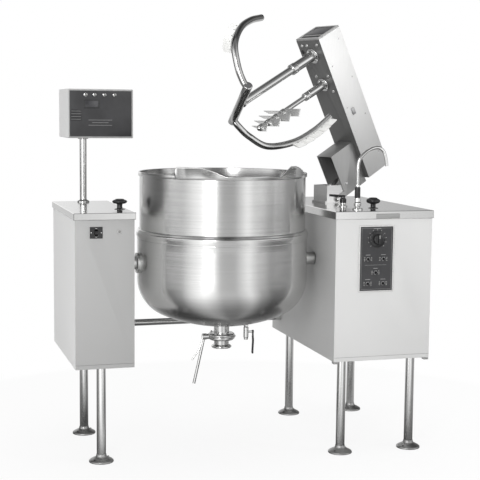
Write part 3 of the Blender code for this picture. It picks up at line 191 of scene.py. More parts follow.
def brushed(name, colour, roughness, grain, metallic=1.0, smudge=0.05, depth=0.12, aniso=0.0, sides=()):
    """Brushed metal: long grain lines, slow smudges in tone and gloss, a fine bump, and painted light or
    shade from the sides given.
    """
    made, tree, shader = new_material(name)
    shader.inputs["Metallic"].default_value = metallic
    lines = noise(tree, 1.0, grain, 4.0, 0.6)
    slow = noise(tree, 3.5)
    tone = tree.nodes.new("ShaderNodeMath")
    tone.operation = "ADD"
    link(tree, spread(tree, lines, -0.5, 0.5), tone.inputs[0])
    link(tree, spread(tree, slow, -0.5, 0.5), tone.inputs[1])
    share = spread(tree, tone.outputs[0], 0.0, 1.0, -0.9, 0.9)
    dark = [c * (1 - smudge) for c in colour]
    light = [min(1.0, c * (1 + smudge)) for c in colour]
    paint = mix_colours(tree, share, dark, light)
    # Painted light and shade: each side entry recolours faces by their position or by the way they look.
    for output, direction, low, high, other in sides:
        paint = shaded(tree, paint, share_along(tree, output, direction, low, high), other)
    link(tree, paint, shader.inputs["Base Color"])
    gloss = spread(tree, tone.outputs[0], roughness * 0.82, roughness * 1.2, -0.9, 0.9)
    link(tree, gloss, shader.inputs["Roughness"])
    if aniso:
        upright_grain(tree, shader, aniso)
    bump(tree, shader, lines, depth, 0.0002)
    return made


def moulded(name, colour, roughness, scale=260.0, depth=0.10, coat=0.0, worn=1.35):
    """Plastic, rubber or paint: fine pebble, slightly uneven tone and gloss."""
    made, tree, shader = new_material(name)
    slow = noise(tree, 14.0)
    fine = noise(tree, scale, detail=2.0)
    dark = [c * 0.92 for c in colour]
    light = [min(1.0, c * worn) for c in colour]
    link(tree, mix_colours(tree, spread(tree, slow, 0.0, 1.0), dark, light), shader.inputs["Base Color"])
    gloss = spread(tree, fine, roughness * 0.85, min(1.0, roughness * 1.15))
    link(tree, gloss, shader.inputs["Roughness"])
    shader.inputs["Coat Weight"].default_value = coat
    bump(tree, shader, fine, depth, 0.0002)
    return made


def glow(name, colour, roughness):
    """A small lens or window: glossy, with a faint uneven tone behind it."""
    made, tree, shader = new_material(name)
    slow = noise(tree, 40.0, detail=2.0)
    dark = [c * 0.8 for c in colour]
    link(tree, mix_colours(tree, spread(tree, slow, 0, 1), dark, colour), shader.inputs["Base Color"])
    link(tree, spread(tree, slow, roughness * 0.8, roughness * 1.3), shader.inputs["Roughness"])
    shader.inputs["Coat Weight"].default_value = 0.6
    return made


def painted_light_facing_x(way, other):
    """A painted light or shade colour for faces that look along X, one way or the other."""
    return "Normal", (way, 0, 0), 0.5, 0.9, other


ROUND_GRAIN = (1.6, 1.6, 420.0)
SHEET_GRAIN = (8.0, 8.0, 520.0)
ARM_GRAIN = (60.0, 60.0, 9.0)
TUBE_GRAIN = (14.0, 14.0, 3.0)
# Painted shade on the arm: darker towards its hinge end, and darker still on its underside.
ARM_PAINTED_SHADE = (("Object", DOWN_ARM, ARM_FOOT - 0.62, ARM_FOOT + 0.02, (0.58, 0.58, 0.577)),
             ("Normal", UNDERSIDE, 0.5, 0.9, (0.20, 0.20, 0.198)))
# Painted light: a pale colour for console sides that look along X.
PAINTED_LIGHT_SIDE = (0.97, 0.97, 0.965)
MAT = {
    "shell": brushed("shell_brushed", grey(0.66), 0.22, ROUND_GRAIN, smudge=0.10, depth=0.07, aniso=0.8),
    "bowl_inside": brushed("bowl_inside_brushed", grey(0.55), 0.24, (2.0, 2.0, 380.0), smudge=0.08,
                           depth=0.05, aniso=0.7),
    "lip": brushed("lip_polished", grey(0.88), 0.28, (3.0, 3.0, 260.0), smudge=0.05, depth=0.03),
    # Both consoles are one stainless. Their front colours differ and their sides get colours of their own,
    # as painted light and shade.
    "left_sheet": brushed("left_console_sheet_painted_light", grey(0.47), 0.62, SHEET_GRAIN, metallic=0.30, smudge=0.04,
                          depth=0.05, sides=(painted_light_facing_x(-1, PAINTED_LIGHT_SIDE), painted_light_facing_x(1, PAINTED_LIGHT_SIDE))),
    "right_sheet": brushed("right_console_sheet_painted_light", grey(0.80), 0.62, SHEET_GRAIN, metallic=0.45, smudge=0.02,
                           depth=0.05, sides=(painted_light_facing_x(-1, (0.68, 0.68, 0.675)),)),
    "panel_dark": brushed("console_sheet_dark", grey(0.42), 0.45, (9.0, 9.0, 520.0), metallic=0.7,
                          smudge=0.03, depth=0.05),
    "lid": brushed("lid_polished", grey(0.74), 0.14, (5.0, 300.0, 5.0), smudge=0.04, depth=0.02),
    "tube": brushed("tube_polished", grey(0.64), 0.20, TUBE_GRAIN, smudge=0.05, depth=0.0),
    "leg": brushed("leg_polished", grey(0.92), 0.22, TUBE_GRAIN, smudge=0.04, depth=0.0),
    "foot": brushed("foot_cast", grey(0.46), 0.42, (14.0, 14.0, 14.0), smudge=0.08, depth=0.04),
    "arm": brushed("arm_sheet_painted_shade", grey(0.95), 0.40, ARM_GRAIN, metallic=0.6, smudge=0.05, depth=0.04,
                   sides=ARM_PAINTED_SHADE),
    "cap": brushed("cap_sheet", grey(0.62), 0.32, ARM_GRAIN, metallic=0.8, smudge=0.05, depth=0.04),
    "hood": brushed("hood_sheet", grey(0.42), 0.42, ARM_GRAIN, metallic=0.8, smudge=0.08, depth=0.04),
    "pedestal": brushed("pedestal_sheet", grey(0.86), 0.36, (9.0, 9.0, 90.0), metallic=0.8, smudge=0.06,
                        depth=0.04),
    "agitator": brushed("agitator_polished", grey(0.62), 0.20, (7.0, 7.0, 7.0), smudge=0.06, depth=0.0),
    "paddle": brushed("paddle_polished", grey(0.82), 0.30, (7.0, 7.0, 7.0), metallic=0.7, smudge=0.04,
                      depth=0.0),
    "chrome": brushed("chrome_plate", grey(0.72), 0.12, (9.0, 9.0, 9.0), smudge=0.04, depth=0.0),
    "steel": brushed("machined_steel", (0.50, 0.50, 0.505), 0.34, (24.0, 24.0, 24.0), smudge=0.10,
                     depth=0.06),
    "bolt": brushed("bolt_zinc", grey(0.78), 0.26, (20.0, 20.0, 20.0), smudge=0.06, depth=0.02),
    "black": moulded("black_plastic", (0.016, 0.016, 0.017), 0.34, coat=0.15),
    "charcoal": moulded("charcoal_panel", (0.030, 0.030, 0.032), 0.36, coat=0.15),
    "nylon": moulded("white_nylon", (0.80, 0.80, 0.785), 0.38, 180.0, worn=1.08),
    "rubber": moulded("belt_rubber", (0.022, 0.022, 0.022), 0.75, 200.0, depth=0.3),
    "motor": moulded("motor_paint", (0.16, 0.17, 0.185), 0.45, 160.0, depth=0.12, coat=0.2),
    "white_mark": moulded("white_marking", (0.74, 0.74, 0.72), 0.5, 300.0, worn=1.05),
    "grey_mark": moulded("grey_marking", (0.30, 0.30, 0.30), 0.5, 300.0, worn=1.1),
    "lens": glow("display_lens", (0.045, 0.045, 0.05), 0.14),
    "lamp": glow("lamp_lens", (0.30, 0.30, 0.29), 0.18),
    # Dark seam colour, also used as painted shade for holes and recesses.
    "seam": moulded("dark_seam_and_painted_shade", (0.03, 0.03, 0.03), 0.7, 200.0),
}

# A slot name listed for each material, unless a piece gives its own; it is carried in each look but not
# used.
SLOTS = {"shell": "stainless", "bowl_inside": "stainless", "lip": "polished_stainless",
         "panel_dark": "stainless", "tube": "stainless", "leg": "stainless", "foot": "stainless",
         "bolt": "stainless", "agitator": "polished_stainless", "paddle": "polished_stainless",
         "chrome": "chrome", "lamp": "chrome", "steel": "steel", "nylon": "white_nylon", "seam": "stainless",
         "black": "black_plastic", "charcoal": "black_plastic", "white_mark": "black_plastic",
         "grey_mark": "black_plastic", "lens": "black_plastic"}


def look(mat, body="frame", slot=None):
    """A piece's material, the body it rides on and its slot."""
    return mat, body, slot or SLOTS[mat]


# Shapes


def finish_mesh(name, shape, paint, matrix=AXIS, angle=35, merge=True):
    mat, body, slot = paint
    if merge:
        bmesh.ops.remove_doubles(shape, verts=shape.verts, dist=0.00002)
    bmesh.ops.recalc_face_normals(shape, faces=shape.faces)
    data = bpy.data.meshes.new(name)
    shape.to_mesh(data)
    shape.free()
    data.transform(matrix)
    data.shade_smooth()
    data.set_sharp_from_angle(angle=math.radians(angle))
    data.materials.append(MAT[mat])
    made = bpy.data.objects.new(name, data)
    bpy.context.scene.collection.objects.link(made)
    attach(made, body)
    return made


def bevel(made, width):
    edge = made.modifiers.new("edges", "BEVEL")
    edge.width = width
    edge.segments = 3
    edge.limit_method = "ANGLE"
    edge.angle_limit = math.radians(30)
    edge.harden_normals = True
    return made


def lathe(name, profile, steps, paint, matrix=AXIS, angle=30):
    """Turn a profile of (radius, height) points about Z."""
    shape = bmesh.new()
    rings = []
    for i in range(steps):
        turn = math.tau * i / steps
        rings.append([shape.verts.new((r * math.cos(turn), r * math.sin(turn), z)) for r, z in profile])
    for here, there in zip(rings, rings[1:] + rings[:1]):
        for k in range(len(profile) - 1):
            at_start, at_end = (profile[j][0] < 1e-7 for j in (k, k + 1))
            if at_start and at_end:
                continue
            corners = [here[k], there[k], there[k + 1], here[k + 1]]
            if at_start:
                corners = [here[k], there[k + 1], here[k + 1]]
            elif at_end:
                corners = [here[k], there[k], here[k + 1]]
            shape.faces.new(corners)
    return finish_mesh(name, shape, paint, matrix, angle=angle)


def ball_line(points, steps):
    """Catmull-Rom line through points."""
    ends = [2 * points[0] - points[1]] + list(points) + [2 * points[-1] - points[-2]]
    line = []
    for a, b, c, d in zip(ends, ends[1:], ends[2:], ends[3:]):
        for i in range(steps):
            s = i / steps
            line.append(0.5 * (2 * b + (c - a) * s + (2 * a - 5 * b + 4 * c - d) * s ** 2
                               + (3 * b - a - 3 * c + d) * s ** 3))
    return line + [points[-1]]


def tube(name, line, radius, paint, matrix=AXIS, sides=24, inner=0.0):
    """A rod along a line of points; inner opens both ends, with a wall."""
    shape = bmesh.new()
    line = [Vector(p) for p in line]
    rings = []
    up = None
    radii = radius if isinstance(radius, (list, tuple)) else [radius] * len(line)
    for i, here in enumerate(line):
        ahead = (line[min(i + 1, len(line) - 1)] - line[max(i - 1, 0)]).normalized()
        if up is None:
            up = ahead.orthogonal().normalized()
        up = (up - ahead * up.dot(ahead)).normalized()
        side = ahead.cross(up)
        turns = [math.tau * k / sides for k in range(sides)]
        rings.append([shape.verts.new(here + (up * math.cos(t) + side * math.sin(t)) * radii[i])
                      for t in turns])
    for here, there in zip(rings, rings[1:]):
        for k in range(sides):
            shape.faces.new((here[k], here[(k + 1) % sides], there[(k + 1) % sides], there[k]))
    for ring, centre, far in ((rings[0], line[0], line[1]), (rings[-1], line[-1], line[-2])):
        if not inner:
            shape.faces.new(ring)
            continue
        inward = (far - centre).normalized()
        rim = [shape.verts.new(centre + (v.co - centre) * (inner / radii[0])) for v in ring]
        deep = [shape.verts.new(v.co + inward * 0.02) for v in rim]
        for k in range(sides):
            j = (k + 1) % sides
            shape.faces.new((ring[k], ring[j], rim[j], rim[k]))
            shape.faces.new((rim[k], rim[j], deep[j], deep[k]))
        shape.faces.new(deep)
    return finish_mesh(name, shape, paint, matrix, angle=50)


def block(name, low, high, paint, matrix=AXIS, edge=0.0015):
    """A box from its low corner to its high one, with rounded edges."""
    shape = bmesh.new()
    bmesh.ops.create_cube(shape, size=1.0)
    for v in shape.verts:
        v.co = Vector(((low[i] + high[i]) / 2 + v.co[i] * (high[i] - low[i]) for i in range(3)))
    if edge:
        bmesh.ops.bevel(shape, geom=shape.edges[:], offset=edge, segments=3, profile=0.5, affect="EDGES")
    return finish_mesh(name, shape, paint, matrix, angle=40)


def plate_on_front(name, x, z, front, thick, paint, edge=0.0):
    """A thin block on a face that looks along -Y; x and z are spans."""
    return block(name, (x[0], front - thick[1], z[0]), (x[1], front - thick[0], z[1]), paint, edge=edge)


def prism(name, outline, low, high, paint, matrix, edge):
    """A flat outline in X and Y, raised from low to high."""
    shape = bmesh.new()
    bottom = [shape.verts.new((x, y, low)) for x, y in outline]
    top = [shape.verts.new((x, y, high)) for x, y in outline]
    shape.faces.new(bottom[::-1])
    shape.faces.new(top)
    for i in range(len(outline)):
        j = (i + 1) % len(outline)
        shape.faces.new((bottom[i], bottom[j], top[j], top[i]))
    return bevel(finish_mesh(name, shape, paint, matrix, angle=30), edge)


def frame_of_loops(name, loops, paint, edge):
    """Bands between loops of four corners, each corner given as (x, y, z)."""
    shape = bmesh.new()
    made = [[shape.verts.new(p) for p in loop] for loop in loops]
    for a, b in zip(made, made[1:]):
        for k in range(4):
            shape.faces.new((a[k], a[(k + 1) % 4], b[(k + 1) % 4], b[k]))
    return bevel(finish_mesh(name, shape, paint, angle=30), edge)


def rectangle(x, y, z, inset=0.0):
    """The corners of an upright rectangle at depth y, drawn in by the inset."""
    x0, x1, z0, z1 = x[0] + inset, x[1] - inset, z[0] + inset, z[1] - inset
    return [(x0, y, z0), (x1, y, z0), (x1, y, z1), (x0, y, z1)]


def facing(point, normal, roll=0.0, base=AXIS):
    """A matrix whose Z looks along the normal, at a point in the base frame."""
    turn = Vector(normal).to_track_quat("Z", "Y").to_matrix().to_4x4()
    return base @ Matrix.Translation(point) @ turn @ Matrix.Rotation(roll, 4, "Z")


def bolt(name, point, normal, paint, size, base=AXIS):
    """A hexagon head on a washer."""
    spot = facing(point, normal, 0.3, base)
    washer = [(0.0, size * 0.22), (size * 1.25, size * 0.22), (size * 1.35, size * 0.12), (size * 1.35, 0.0)]
    lathe(name + "_washer", washer, 28, paint, spot)
    hexagon = [(size * math.cos(i * math.pi / 3), size * math.sin(i * math.pi / 3)) for i in range(6)]
    prism(name, hexagon, size * 0.2, size * 0.95, paint, spot, edge=size * 0.12)


def screw(name, point, normal, paint, size, base=AXIS):
    """A domed head."""
    dome = [(0.0, size * 0.55), (size * 0.35, size * 0.54), (size * 0.75, size * 0.42),
            (size * 0.95, size * 0.22), (size, 0.0)]
    lathe(name, dome, 28, paint, facing(point, normal, 0.3, base))


def dished(radius, straight_z, knuckle, bottom_z, hole):
    """A straight wall's end, knuckle and crown, down to a hole in the middle."""
    arc, crown_steps = 26, 34
    depth = straight_z - bottom_z
    crown = ((radius - knuckle) ** 2 + depth ** 2 - knuckle ** 2) / (2 * (depth - knuckle))
    crown_z = bottom_z + crown
    meet = math.atan2(crown_z - straight_z, radius - knuckle)
    points = []
    for i in range(arc + 1):
        angle = meet * i / arc
        points.append((radius - knuckle + knuckle * math.cos(angle), straight_z - knuckle * math.sin(angle)))
    start = math.asin((radius - knuckle) / (crown - knuckle))
    end = math.asin(hole / crown)
    for i in range(1, crown_steps + 1):
        angle = start + (end - start) * i / crown_steps
        points.append((crown * math.sin(angle), crown_z - crown * math.cos(angle)))
    return points


def arc_points(cx, cz, r, a0, a1, count):
    return [(cx + r * math.cos(a0 + (a1 - a0) * i / count), cz + r * math.sin(a0 + (a1 - a0) * i / count))
            for i in range(count + 1)]


def dress(node, mat, edge=0.0):
    """Keep a CAD node's shape, with shared corners, softened edges and its own look."""
    made = nodes[node]
    crease = math.radians(30)
    made.data.materials.clear()
    made.data.materials.append(MAT[mat])
    join = made.modifiers.new("join", "WELD")
    join.merge_threshold = 0.00005
    if edge:
        soften = made.modifiers.new("edges", "BEVEL")
        soften.width = edge
        soften.segments = 3
        soften.limit_method = "ANGLE"
        soften.angle_limit = crease
    for face in made.data.polygons:
        face.use_smooth = True
    split = made.modifiers.new("creases", "EDGE_SPLIT")
    split.split_angle = crease


# Kettle

RIM_Z = 1.285
BOWL_R = 0.3745
BOWL_OUT = 0.3775
BAND = BOWL_OUT + 0.006
JACKET_R = 0.388
BOSS_FACE_X = 0.4000
BOWL_HOLE = 0.024
QUARTER = math.pi / 2


def kettle():
    bead = arc_points(BAND - 0.0035, RIM_Z - 0.0035, 0.0035, QUARTER, 0, 6)
    foot = arc_points(BAND - 0.002, RIM_Z - 0.016, 0.002, 0, -QUARTER, 4)
    wall = [(BOWL_OUT, z) for z in (RIM_Z - 0.018, 1.20, 1.10, 1.03)]
    outside = bead + foot + wall + dished(BOWL_OUT, 0.830, 0.168, 0.629, BOWL_HOLE)
    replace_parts(lathe("bowl_outer", outside, 192, look("shell", "kettle"), angle=28), "kettle_bowl")
    inside = [(BAND - 0.0035, RIM_Z)] + arc_points(BOWL_R + 0.002, RIM_Z - 0.002, 0.002, QUARTER, math.pi, 4)
    inside += [(BOWL_R, z) for z in (1.25, 1.1, 0.95)] + dished(BOWL_R, 0.830, 0.165, 0.632, BOWL_HOLE)
    lathe("bowl_inner", inside, 192, look("bowl_inside", "kettle"), angle=28)
    r = JACKET_R
    ring = [(BOWL_OUT + 0.0004, 1.0275)]
    ring += arc_points(BOWL_OUT + 0.004, 1.0235, 0.004, QUARTER, math.pi / 5, 3)
    ring += [(r - 0.001, 1.020)]
    ring += arc_points(r - 0.0015, 1.0105, 0.0055, math.radians(50), -math.radians(10), 7)
    ring += [(r + 0.004, 1.005), (r + 0.0036, 0.997), (r + 0.0015, 0.991), (r, 0.985)]
    outside = ring + [(r, z) for z in (0.95, 0.9, 0.85)] + dished(r, 0.800, 0.175, 0.582, 0.0358)
    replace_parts(lathe("jacket_outer", outside, 192, look("shell", "kettle"), angle=40), "kettle_jacket")
    seam = [(r + 0.0006, 0.9845), (r + 0.0009, 0.9835), (r + 0.0006, 0.9825)]
    lathe("jacket_weld", seam, 128, look("shell", "kettle"), angle=60)
    weld = [(0.0296, 0.0044), (0.0312, 0.0030), (0.0330, 0.0012), (0.0345, 0.0)]
    for side, name in ((1, "right"), (-1, "left")):
        spot = facing((side * BOSS_FACE_X, 0, TILT_Z), (side, 0, 0))
        lathe(f"{name}_boss_weld", weld, 48, look("steel", "kettle"), spot)


LIP_STEPS = 120
LIP_HALF = math.radians(47)
LIP_NOSE = 0.46
LIP_WING_RISE = 0.034
LIP_ROOT = BAND + 0.0028
LIP_LOW_Z = RIM_Z - 0.014


def lip_row(turn):
    """One line of the lip's sheet, from the rim's band out to its free edge."""
    notch = math.radians(14 if turn < 0 else 18.5)
    share = max(0.0, (abs(turn) - notch) / (LIP_HALF - notch))
    if turn < 0:
        wing = 0.88 * min(1.0, share / 0.42) * min(1.0, 0.25 + (1 - share) / 0.07)
    else:
        wing = min(1.0, share / 0.34) * (1 - max(0.0, (share - 0.45) / 0.55) ** 2.6 * 0.80)
    nose = (LIP_NOSE - LIP_ROOT) * max(0.0, math.cos(turn * QUARTER / LIP_HALF)) ** 1.2
    rise = 0.012 + 0.008 * min(1.0, share / 0.2) + LIP_WING_RISE * wing
    line = [(LIP_ROOT, RIM_Z - 0.018)]
    for k in range(9):
        s = k / 8
        out = 0.10 + 0.90 * s ** 1.15
        line.append((LIP_ROOT + 0.004 + max(nose - 0.004, 0.010) * out, LIP_LOW_Z + rise * s ** 0.95))
    return [Vector((reach * math.sin(turn), -reach * math.cos(turn), z)) for reach, z in line]


def lip():
    """The bent sheet spout: a low middle, a flat-topped wing and a rounded wing."""
    shape = bmesh.new()
    turns = [-LIP_HALF + 2 * LIP_HALF * i / LIP_STEPS for i in range(LIP_STEPS + 1)]
    grid = [[shape.verts.new(p) for p in lip_row(turn)] for turn in turns]
    for here, there in zip(grid, grid[1:]):
        for k in range(len(here) - 1):
            shape.faces.new((here[k], there[k], there[k + 1], here[k + 1]))
    made = finish_mesh("pouring_lip_sheet", shape, look("lip", "kettle"), angle=60, merge=False)
    thick = made.modifiers.new("sheet", "SOLIDIFY")
    thick.thickness = 0.0024
    thick.offset = 1 if made.data.polygons[0].normal.y > 0 else -1
    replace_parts(made, "pouring_lip")


VALVE_Z = joint_spot("draw_off_turn").z
VALVE_TOP_Z = VALVE_Z + 0.0157
DRAIN = AXIS @ Matrix.Translation((0.118, 0, 0))
SLEEVE_LINE = ((0.1512, 0, 0.520), (0.1528, 0, 0.4985), (0.1515, 0, 0.470), (0.1500, 0, 0.441))


def draw_off():
    """Clamp ring with its bolts, the outlet's ferrule, and the drain cock's small parts."""
    steel = look("chrome", "kettle", "stainless")
    chrome = look("chrome", "kettle")
    ring = arc_points(0.0615, VALVE_Z, 0.0045, QUARTER, -QUARTER, 8)
    lathe("draw_off_clamp", [(0.055, VALVE_Z + 0.0045)] + ring + [(0.055, VALVE_Z - 0.0045)], 64, steel)
    for i in range(4):
        turn = math.radians(45 + 90 * i)
        spot = (0.0545 * math.cos(turn), 0.0545 * math.sin(turn), VALVE_TOP_Z)
        bolt(f"draw_off_bolt_{i + 1}", spot, (0, 0, 1), look("bolt", "kettle"), 0.0045)
    bead = arc_points(0.0425, 0.4795, 0.0042, math.pi * 0.75, -math.pi * 0.4, 9)
    lathe("draw_off_ferrule", [(0.0345, 0.4885)] + bead + [(0.036, 0.4742)], 64, steel)
    nut = [(0.0066, 0.5755), (0.0105, 0.5750), (0.0112, 0.5735), (0.0112, 0.5672), (0.0105, 0.5655),
           (0.0066, 0.565)]
    lathe("drain_nut", nut, 6, chrome, DRAIN, angle=20)
    nozzle = [(0.0096, 0.512), (0.0098, 0.506), (0.0085, 0.5045), (0.0062, 0.5045), (0.0062, 0.516)]
    lathe("drain_nozzle", nozzle, 32, chrome, DRAIN)
    line = ball_line([Vector(p) for p in SLEEVE_LINE], 6)
    last = len(line) - 1
    radii = [0.0046 + 0.0003 * math.sin(math.pi * i / last) for i in range(len(line))]
    tube("drain_lever_sleeve", line, radii, look("black", "drain_handle"), sides=20)


# Consoles


def console_details():
    dress("left_cabinet", "left_sheet", edge=0.0016)
    dress("right_cabinet", "right_sheet", edge=0.0016)
    for node in ("left_lid", "right_lid"):
        dress(node, "lid")
    both = (("left", LEFT_X, LEFT_Y, LEFT_SKIRT), ("right", RIGHT_X, RIGHT_Y, RIGHT_SKIRT))
    # Welded corner lines of the pan lids.
    for name, x, y, skirt in both:
        front = y[0] - LID_OVERHANG
        for i, cx in enumerate((x[0] - LID_OVERHANG + 0.0008, x[1] + LID_OVERHANG - 0.0008)):
            low = (cx - 0.0002, front - 0.00005, TOP - skirt + 0.0005)
            high = (cx + 0.0002, front + 0.0006, TOP - 0.003)
            block(f"{name}_lid_seam_{i + 1}", low, high, look("seam", slot="polished_stainless"), edge=0)
    # The floor's folded hem.
    for name, x, y, skirt in both:
        plate_on_front(f"{name}_hem_1", (x[0] + 0.002, x[1] - 0.002), (LOW + 0.0185, LOW + 0.0193), y[0],
                       (-0.0004, 0.0004), look("seam"))
    # Leveling tabs under the right console's front corners.
    for i, x in enumerate((RIGHT_X[0] + 0.012, RIGHT_X[1] - 0.012)):
        y = RIGHT_Y[0] + 0.014
        block(f"corner_tab_{i + 1}", (x - 0.011, y - 0.013, LOW - 0.010),
              (x + 0.011, y + 0.013, LOW - 0.0002), look("panel_dark"), edge=0.001)
    for i, z in enumerate((0.56, 0.80, 1.04)):
        screw(f"left_side_screw_{i + 1}", (LEFT_X[1] + 0.0001, LEFT_Y[0] + 0.02, z), (1, 0, 0), look("bolt"),
              0.0035)
    switch()
    control_panel()
    dial()
    nameplate()


def switch():
    """The tilt switch's surround, and the lamp to its right."""
    front = LEFT_Y[0]
    middle = joint_spot("tilt_switch_rock")
    mx, mz = middle.x, middle.z
    outer = ((mx - 0.028, mx + 0.028), (mz - 0.025, mz + 0.025))
    inner = ((mx - 0.0083, mx + 0.0083), (mz - 0.014, mz + 0.014))
    shallow, proud = front - 0.0002, front - 0.0036
    steps = ((outer, shallow), (outer, proud), (inner, proud), (inner, shallow))
    loops = [rectangle(x, y, z) for (x, z), y in steps]
    frame_of_loops("tilt_switch_escutcheon", loops, look("black"), 0.0007)
    for i, side in enumerate((-1, 1)):
        screw(f"tilt_switch_screw_{i + 1}", (mx + side * 0.022, proud, mz), (0, -1, 0),
              look("bolt", slot="chrome"), 0.0028)
    for i, side in enumerate((1, -1)):
        z = mz + side * 0.0185
        plate_on_front(f"tilt_switch_mark_{i + 1}", (mx - 0.004, mx + 0.004), (z - 0.0008, z + 0.0008),
                       front, (0.0035, 0.0039), look("white_mark"))
    spot = facing((-0.510, front, 1.039), (0, -1, 0))
    bezel = [(0.0068, 0.0045), (0.0090, 0.0045), (0.0098, 0.0030), (0.0098, 0.0002)]
    lathe("lamp_bezel", bezel, 36, look("chrome"), spot)
    lens = [(0.0, 0.0075), (0.003, 0.0072), (0.0056, 0.0058), (0.0068, 0.0030)]
    lathe("lamp_lens_cap", lens, 36, look("lamp"), spot)


PANEL_LOW, PANEL_HIGH = box_of("control_panel")
PANEL_X = (PANEL_LOW[0], PANEL_HIGH[0])
PANEL_Z = (PANEL_LOW[2], PANEL_HIGH[2])
PANEL_FACE = PANEL_LOW[1]
DIAL = joint_spot("dial_turn")
DIAL_RADIUS = 0.0375
# Bare strips stand where the photo has wording: centre x, centre z, half length.
PANEL_STRIPS = ((0.598, 0.923, 0.011), (0.672, 0.923, 0.011), (0.635, 0.862, 0.011), (0.598, 0.812, 0.012),
                (0.672, 0.812, 0.012), (0.635, 0.877, 0.052), (0.641, 1.042, 0.018))


def flat_face(name, corners, paint):
    shape = bmesh.new()
    shape.faces.new([shape.verts.new(p) for p in corners])
    finish_mesh(name, shape, paint, merge=False)


def control_panel():
    dress("control_panel", "charcoal")
    on_console, proud = RIGHT_Y[0] - 0.0002, PANEL_FACE - 0.0008
    loops = [rectangle(PANEL_X, y, PANEL_Z, inset) for inset, y in
             ((-0.0052, on_console), (-0.0052, proud), (-0.0002, proud), (-0.0002, PANEL_FACE))]
    frame_of_loops("panel_bezel", loops, look("bolt"), 0.0005)
    shape = bmesh.new()
    outer, inner = ([shape.verts.new(p) for p in rectangle(PANEL_X, PANEL_FACE - 0.00025, PANEL_Z, inset)]
                    for inset in (0.0060, 0.0068))
    for k in range(4):
        shape.faces.new((outer[k], outer[(k + 1) % 4], inner[(k + 1) % 4], inner[k]))
    finish_mesh("panel_line", shape, look("grey_mark"), merge=False)
    for i in range(11):
        turn = math.radians(225 - 27 * i)
        along = Vector((math.cos(turn), 0, math.sin(turn)))
        across = Vector((-math.sin(turn), 0, math.cos(turn))) * 0.0007
        half = along * (0.0035 if i % 5 else 0.0048) / 2
        centre = Vector((DIAL.x, PANEL_FACE - GAP, DIAL.z)) + along * (DIAL_RADIUS + 0.0062)
        corners = [centre + half * a + across * b for a, b in ((-1, -1), (1, -1), (1, 1), (-1, 1))]
        flat_face(f"dial_tick_{i + 1}", corners, look("white_mark"))
    for i, (x, z, half) in enumerate(PANEL_STRIPS):
        height = 0.0005 if half > 0.04 else 0.0011
        plate_on_front(f"panel_strip_{i + 1}", (x - half, x + half), (z - height, z + height), PANEL_FACE,
                       (0.0001, 0.0003), look("grey_mark"))
    for i in range(5):
        toggle_trim(i + 1, joint_spot(f"toggle_flip_{i + 1}"))


def toggle_trim(number, middle):
    """A toggle's collar and nut, and dashes beside it."""
    spot = facing((middle.x, PANEL_FACE, middle.z), (0, -1, 0))
    collar = [(0.0049, 0.0), (0.0049, 0.0042), (0.0056, 0.0048), (0.0066, 0.0048), (0.0070, 0.0042),
              (0.0070, 0.0)]
    lathe(f"toggle_collar_{number}", collar, 28, look("black"), spot)
    nut = [(0.0066, 0.0026), (0.0094, 0.0026), (0.0098, 0.0020), (0.0098, 0.0002)]
    lathe(f"toggle_nut_{number}", nut, 6, look("steel", slot="chrome"), spot, angle=20)
    for side in (-1, 1):
        for row in (-1, 0, 1):
            x, z = middle.x + side * 0.0165, middle.z + row * 0.0065
            plate_on_front(f"toggle_dash_{number}_{side + 1}_{row + 1}", (x - 0.0028, x + 0.0028),
                           (z - 0.0006, z + 0.0006), PANEL_FACE, (0.0001, 0.0003), look("white_mark"))


def dial():
    """A fluted grip on a skirt, with a bar and a pointer line."""
    shape = bmesh.new()
    steps = 96
    skirt = [(r, 0.0, h) for r, h in ((DIAL_RADIUS, 0.0004), (DIAL_RADIUS, 0.0030), (0.0362, 0.0042),
                                      (0.0262, 0.0052))]
    grip = [(0.0243, 0.0, 0.0060), (0.0238, 0.0011, 0.0080), (0.0228, 0.0011, 0.0190),
            (0.0212, 0.0006, 0.0212), (0.0195, 0.0, 0.0220)]
    rings = []
    for base, flute, height in skirt + grip:
        ring = []
        for turn in (math.tau * k / steps for k in range(steps)):
            r = base + flute * math.cos(24 * turn)
            ring.append(shape.verts.new((r * math.cos(turn), r * math.sin(turn), height)))
        rings.append(ring)
    for a, b in zip(rings, rings[1:]):
        for k in range(steps):
            shape.faces.new((a[k], a[(k + 1) % steps], b[(k + 1) % steps], b[k]))
    shape.faces.new(rings[-1])
    spot = facing(DIAL, (0, -1, 0))
    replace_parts(finish_mesh("dial_knob", shape, look("black", "dial"), spot, angle=40), "panel_dial")
    block("dial_bar", (-0.0045, -0.021, 0.0212), (0.0045, 0.021, 0.0300), look("black", "dial"), spot,
          edge=0.0016)
    block("dial_pointer", (-0.0009, 0.004, 0.0298), (0.0009, 0.0205, 0.0303), look("white_mark", "dial"),
          spot, edge=0)
    for i in range(1, 10):
        turn = Matrix.Rotation(math.radians(225 - 27 * i) - QUARTER, 4, "Z")
        block(f"dial_skirt_mark_{i}", (-0.0005, 0.0320, 0.0038), (0.0005, 0.0352, 0.0046),
              look("grey_mark", "dial"), spot @ turn, edge=0)


def nameplate():
    """A bare plate on the right lid's front edge."""
    front = RIGHT_Y[0] - LID_OVERHANG
    slot = "black_plastic"
    plate_on_front("lid_plate", (0.633, 0.748), (1.0865, 1.1085), front, (0.0002, 0.0011),
                   look("panel_dark", slot=slot), edge=0.0004)
    for name, z, mat in (("lid_plate_rim", 1.1062, "seam"), ("lid_plate_rim_low", 1.0880, "grey_mark")):
        plate_on_front(name, (0.6345, 0.7465), (z, z + 0.0008), front, (0.0010, 0.0014),
                       look(mat, slot=slot))


